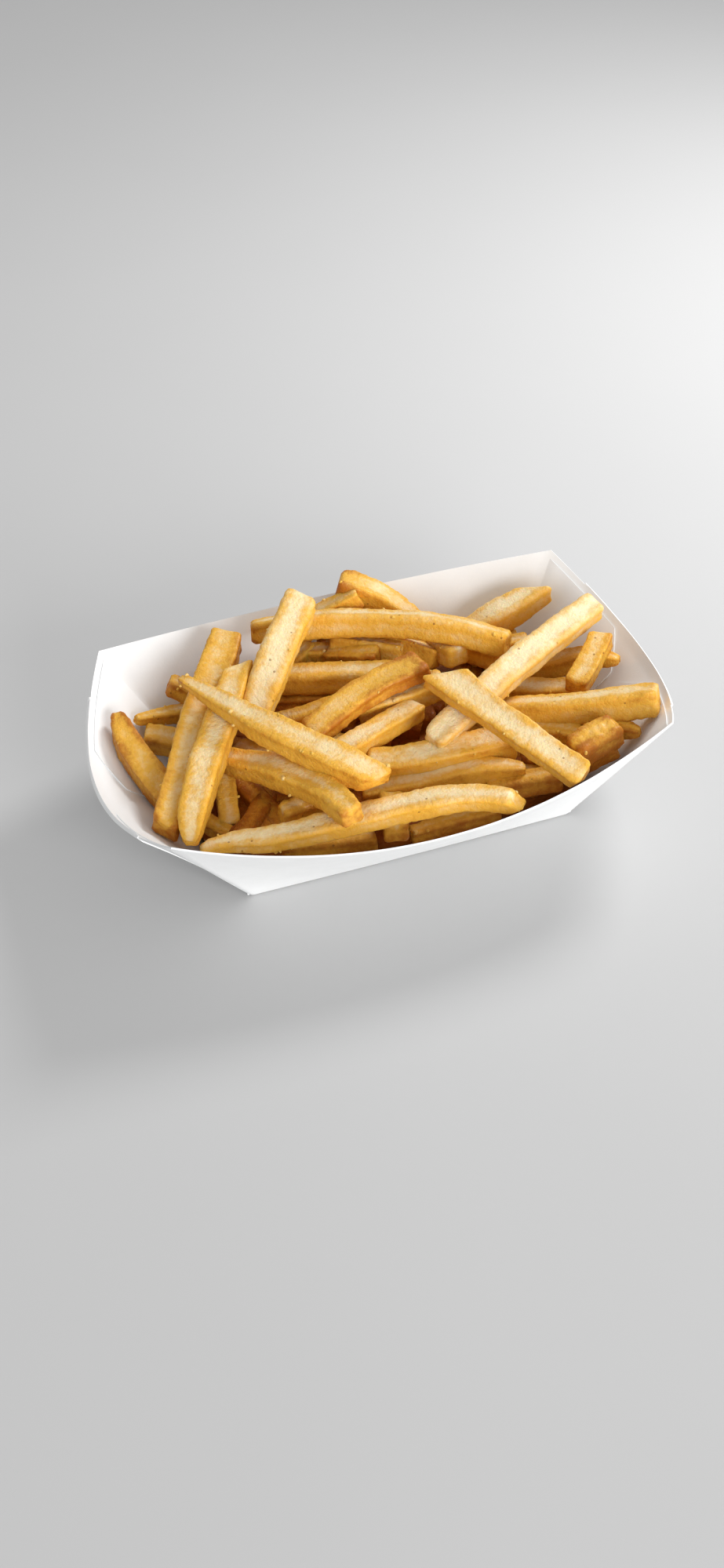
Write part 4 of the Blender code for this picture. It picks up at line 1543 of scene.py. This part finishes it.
@dataclass
class Heap:
    """The heap of fries: the ones that show, the ones under them and a low dark core.

    core_rings are heights with how far in from the wall each ring lies.  core_parts shrink the
    top ring towards the middle.  The skins are edge nearness, scorch, tone and upness.  The core
    and the fries below and behind wear crusts darkened as painted shade, for the gaps they fill.
    """

    core_stations: int = 10
    core_rings: tuple = ((1.0, 0.0), (8.0, 0.2), (13.0, 0.8), (17.0, 5.0), (18.5, 12.0))
    core_parts: tuple = (0.66, 0.33, 0.0)
    core_gap: float = 0.65
    core_slant: float = 1.3
    core_top: float = 19.0
    # The core's skin is set dark and sideways: painted shade for the deep gaps.
    core_painted_shade_skin: tuple = (0.6, 0.2, 0.95, 0.2)
    low_count: int = 34
    low_seed: int = 41
    low_height: float = 17.5
    low_margin: float = 7.5
    low_spread: tuple = (0.9, 0.6)
    low_shift: float = 5.0
    low_half_lengths: tuple = (14.0, 24.0)
    low_rises: tuple = (-1.0, 3.5)
    low_widths: tuple = (6.6, 8.6)
    low_depths: tuple = (6.4, 8.0)
    low_tones: tuple = (0.5, 0.9)
    crumb_count: int = 170
    crumb_seed: int = 77
    crumb_radius: float = 0.5
    crumb_sizes: tuple = (0.5, 1.5)
    crumb_stretches: tuple = (0.7, 1.4)
    crumb_edge: float = 0.9
    crumb_skin: tuple = (0.4, 0.0, 0.35, 0.6)

    def low_fries(self, tray: Tray) -> list:
        """Fries under the ones that show, in two rows, kept clear of the walls.

        Args:
            tray: The tray that they lie in.

        Returns:
            The fries.
        """
        draw = random.Random(self.low_seed)
        rise = self.low_height / tray.corner_z
        half_x = tray.base_half_length + (tray.corner_x - tray.base_half_length) * rise - self.low_margin
        half_y = tray.base_half_width + (tray.corner_y - tray.base_half_width) * rise - self.low_margin
        spread_x, spread_y = self.low_spread
        columns = self.low_count // 2
        fries = []
        for index in range(self.low_count):
            column, row = index % columns, index // columns
            centre_x = half_x * (-spread_x + 2.0 * spread_x * column / (columns - 1))
            centre_y = half_y * (-spread_y + 2.0 * spread_y * row)
            centre_y += draw.uniform(-self.low_shift, self.low_shift)
            heading = draw.uniform(0.0, math.pi)
            half_length = draw.uniform(*self.low_half_lengths)
            ends = []
            for way in (-1.0, 1.0):
                x = centre_x + way * half_length * math.cos(heading)
                y = centre_y + way * half_length * math.sin(heading)
                ends.append((max(-half_x, min(half_x, x)), max(-half_y, min(half_y, y)),
                             self.low_height + draw.uniform(*self.low_rises)))
            fries.append(Fry(f"low_{index:02d}", draw.uniform(*self.low_widths),
                             draw.uniform(*self.low_depths), tuple(ends), draw.uniform(*self.low_tones)))
        return fries

    def core_ring(self, tray: Tray, height: float, inset: float) -> np.ndarray:
        """One level ring of the core, along the inside of the walls.

        Args:
            tray: The tray.
            height: How high it lies.
            inset: How far in from the wall.

        Returns:
            Its points, shape (n, 3).
        """
        stations = -1.0 + 2.0 * (np.arange(self.core_stations) + 0.5) / self.core_stations
        points = []
        for panel, sign, _, way in tray.walls():
            rim_z = tray.end_z if panel == tray.end else tray.side_z
            t = way * stations
            points.append(panel(t, height / (rim_z + (tray.corner_z - rim_z) * t * t), sign))
        ring = np.concatenate(points)
        outward = ring[:, :2] / np.linalg.norm(ring[:, :2], axis=1)[:, None]
        ring[:, :2] -= outward * (tray.board + tray.flap_board + self.core_gap + inset) * self.core_slant
        ring[:, 2] = height
        return ring

    def build_core(self, tray: Tray, material: bpy.types.Material) -> None:
        """The lumpy mound that fills the tray under the fries.

        Args:
            tray: The tray.
            material: The crust darkened as painted shade.
        """
        layers = [self.core_ring(tray, height, inset) for height, inset in self.core_rings]
        top = layers[-1]
        for part in self.core_parts:
            inner = top.copy()
            inner[:, :2] *= part
            inner[:, 2] = self.core_top - (self.core_top - top[0, 2]) * part
            layers.append(inner)
        count = len(top)
        foot = np.tile((0.0, 0.0, self.core_rings[0][0]), (count, 1))
        stack = np.array([foot, *layers])

        def place(along: np.ndarray, across: np.ndarray) -> np.ndarray:
            column = np.rint(along * count).astype(int) % count
            row = np.rint(across * (len(stack) - 1)).astype(int)
            return stack[row, column]
        core = shaped_grid("fry_core", count, len(stack) - 1, place)
        close_seams(core)
        apply_modifier(core, "SUBSURF", levels=2, render_levels=2)
        shade_smooth(core)
        paint_skin(core, np.tile(self.core_painted_shade_skin, (len(core.data.vertices), 1)))
        declare(core, material, "fries")

    def gather(self, fries: list, shape: FryShape, name: str, first_seed: int,
               material: bpy.types.Material) -> bpy.types.Object:
        """Builds several fries and joins them into one piece.

        Args:
            fries: The fries.
            shape: How they are shaped.
            name: Name of the piece.
            first_seed: Seed of the first fry, with the next numbers for the others.
            material: Their crust.

        Returns:
            The piece.
        """
        items = [shape.build(fry, first_seed + index) for index, fry in enumerate(fries)]
        piece = join(items, name)
        close_seams(piece)
        shade_smooth(piece)
        declare(piece, material, "fries")
        return piece

    def scatter_crumbs(self, hosts: list, material: bpy.types.Material) -> None:
        """Copies one crumb onto the fries' arrises, where crust rubs off.

        Args:
            hosts: The pieces whose arrises carry crumbs.
            material: The crumbs' crust.
        """
        draw = random.Random(self.crumb_seed)
        deselect_all()
        bpy.ops.mesh.primitive_ico_sphere_add(subdivisions=1, radius=self.crumb_radius * MM)
        first = bpy.context.object
        crumbs = []
        for index in range(self.crumb_count):
            host = hosts[index % len(hosts)]
            skin = host.data.attributes["skin"].data
            while True:
                number = draw.randrange(len(host.data.vertices))
                spot = host.data.vertices[number].co
                if skin[number].color[0] > self.crumb_edge and spot.z > self.low_height * MM:
                    break
            crumb = first.copy()
            crumb.data = first.data.copy()
            bpy.context.collection.objects.link(crumb)
            crumb.location = spot
            crumb.rotation_euler = [draw.uniform(0.0, math.pi) for _ in range(3)]
            size = draw.uniform(*self.crumb_sizes)
            crumb.scale = [size * draw.uniform(*self.crumb_stretches) for _ in range(3)]
            crumbs.append(crumb)
        bpy.data.objects.remove(first)
        select_only(crumbs[0])
        for crumb in crumbs[1:]:
            crumb.select_set(True)
        bpy.ops.object.transform_apply(location=True, rotation=True, scale=True)
        piece = join(crumbs, "crumbs")
        shade_smooth(piece)
        paint_skin(piece, np.tile(self.crumb_skin, (len(piece.data.vertices), 1)))
        declare(piece, material, "fries")

    def build(self, tray: Tray, groups: Groups) -> None:
        """Builds the core, the low fries, the hidden ones, the ones that show and the crumbs.

        Args:
            tray: The tray that they lie in.
            groups: The shared node groups.
        """
        crust = PotatoFinish().material(groups)
        # The fries behind, the fries below and the core get crusts darkened and browned as painted shade,
        # for the gaps they lie in.
        behind_painted_shade_crust = PotatoFinish(name="fried_potato_behind_painted_shade", painted_shade=0.12).material(groups)
        shaded = PotatoFinish(name="fried_potato_painted_shade", golden=(0.60, 0.24, 0.02),
                              brown=(0.36, 0.10, 0.006), painted_shade=0.5).material(groups)
        coarse = FryShape(tray, ring_step=2.2, side_faces=7, corner_faces=3, cap_rows=2)
        middling = FryShape(tray, ring_step=1.2, side_faces=8, corner_faces=3, cap_rows=3)
        fine = FryShape(tray)
        hidden = HiddenRoom(tray, Viewpoint()).find([*LONG_FRIES, *SHORT_FRIES])
        self.build_core(tray, shaded)
        self.gather(self.low_fries(tray), coarse, "fries_below", 500, shaded)
        self.gather(hidden, middling, "fries_behind", 301, behind_painted_shade_crust)
        short = self.gather(list(SHORT_FRIES), fine, "short_fries", 200, crust)
        long = self.gather(list(LONG_FRIES), fine, "long_fries", 100, crust)
        self.scatter_crumbs([short, long], crust)


def main() -> None:
    """Builds the view, the studio, the tray and the heap in order."""
    logging.basicConfig(level=logging.INFO, format="%(name)s: %(message)s")
    groups = Groups()
    Viewpoint().place()
    Studio().build(groups)
    tray = Tray()
    tray.build(groups)
    Heap().build(tray, groups)


if __name__ == "__main__":
    main()
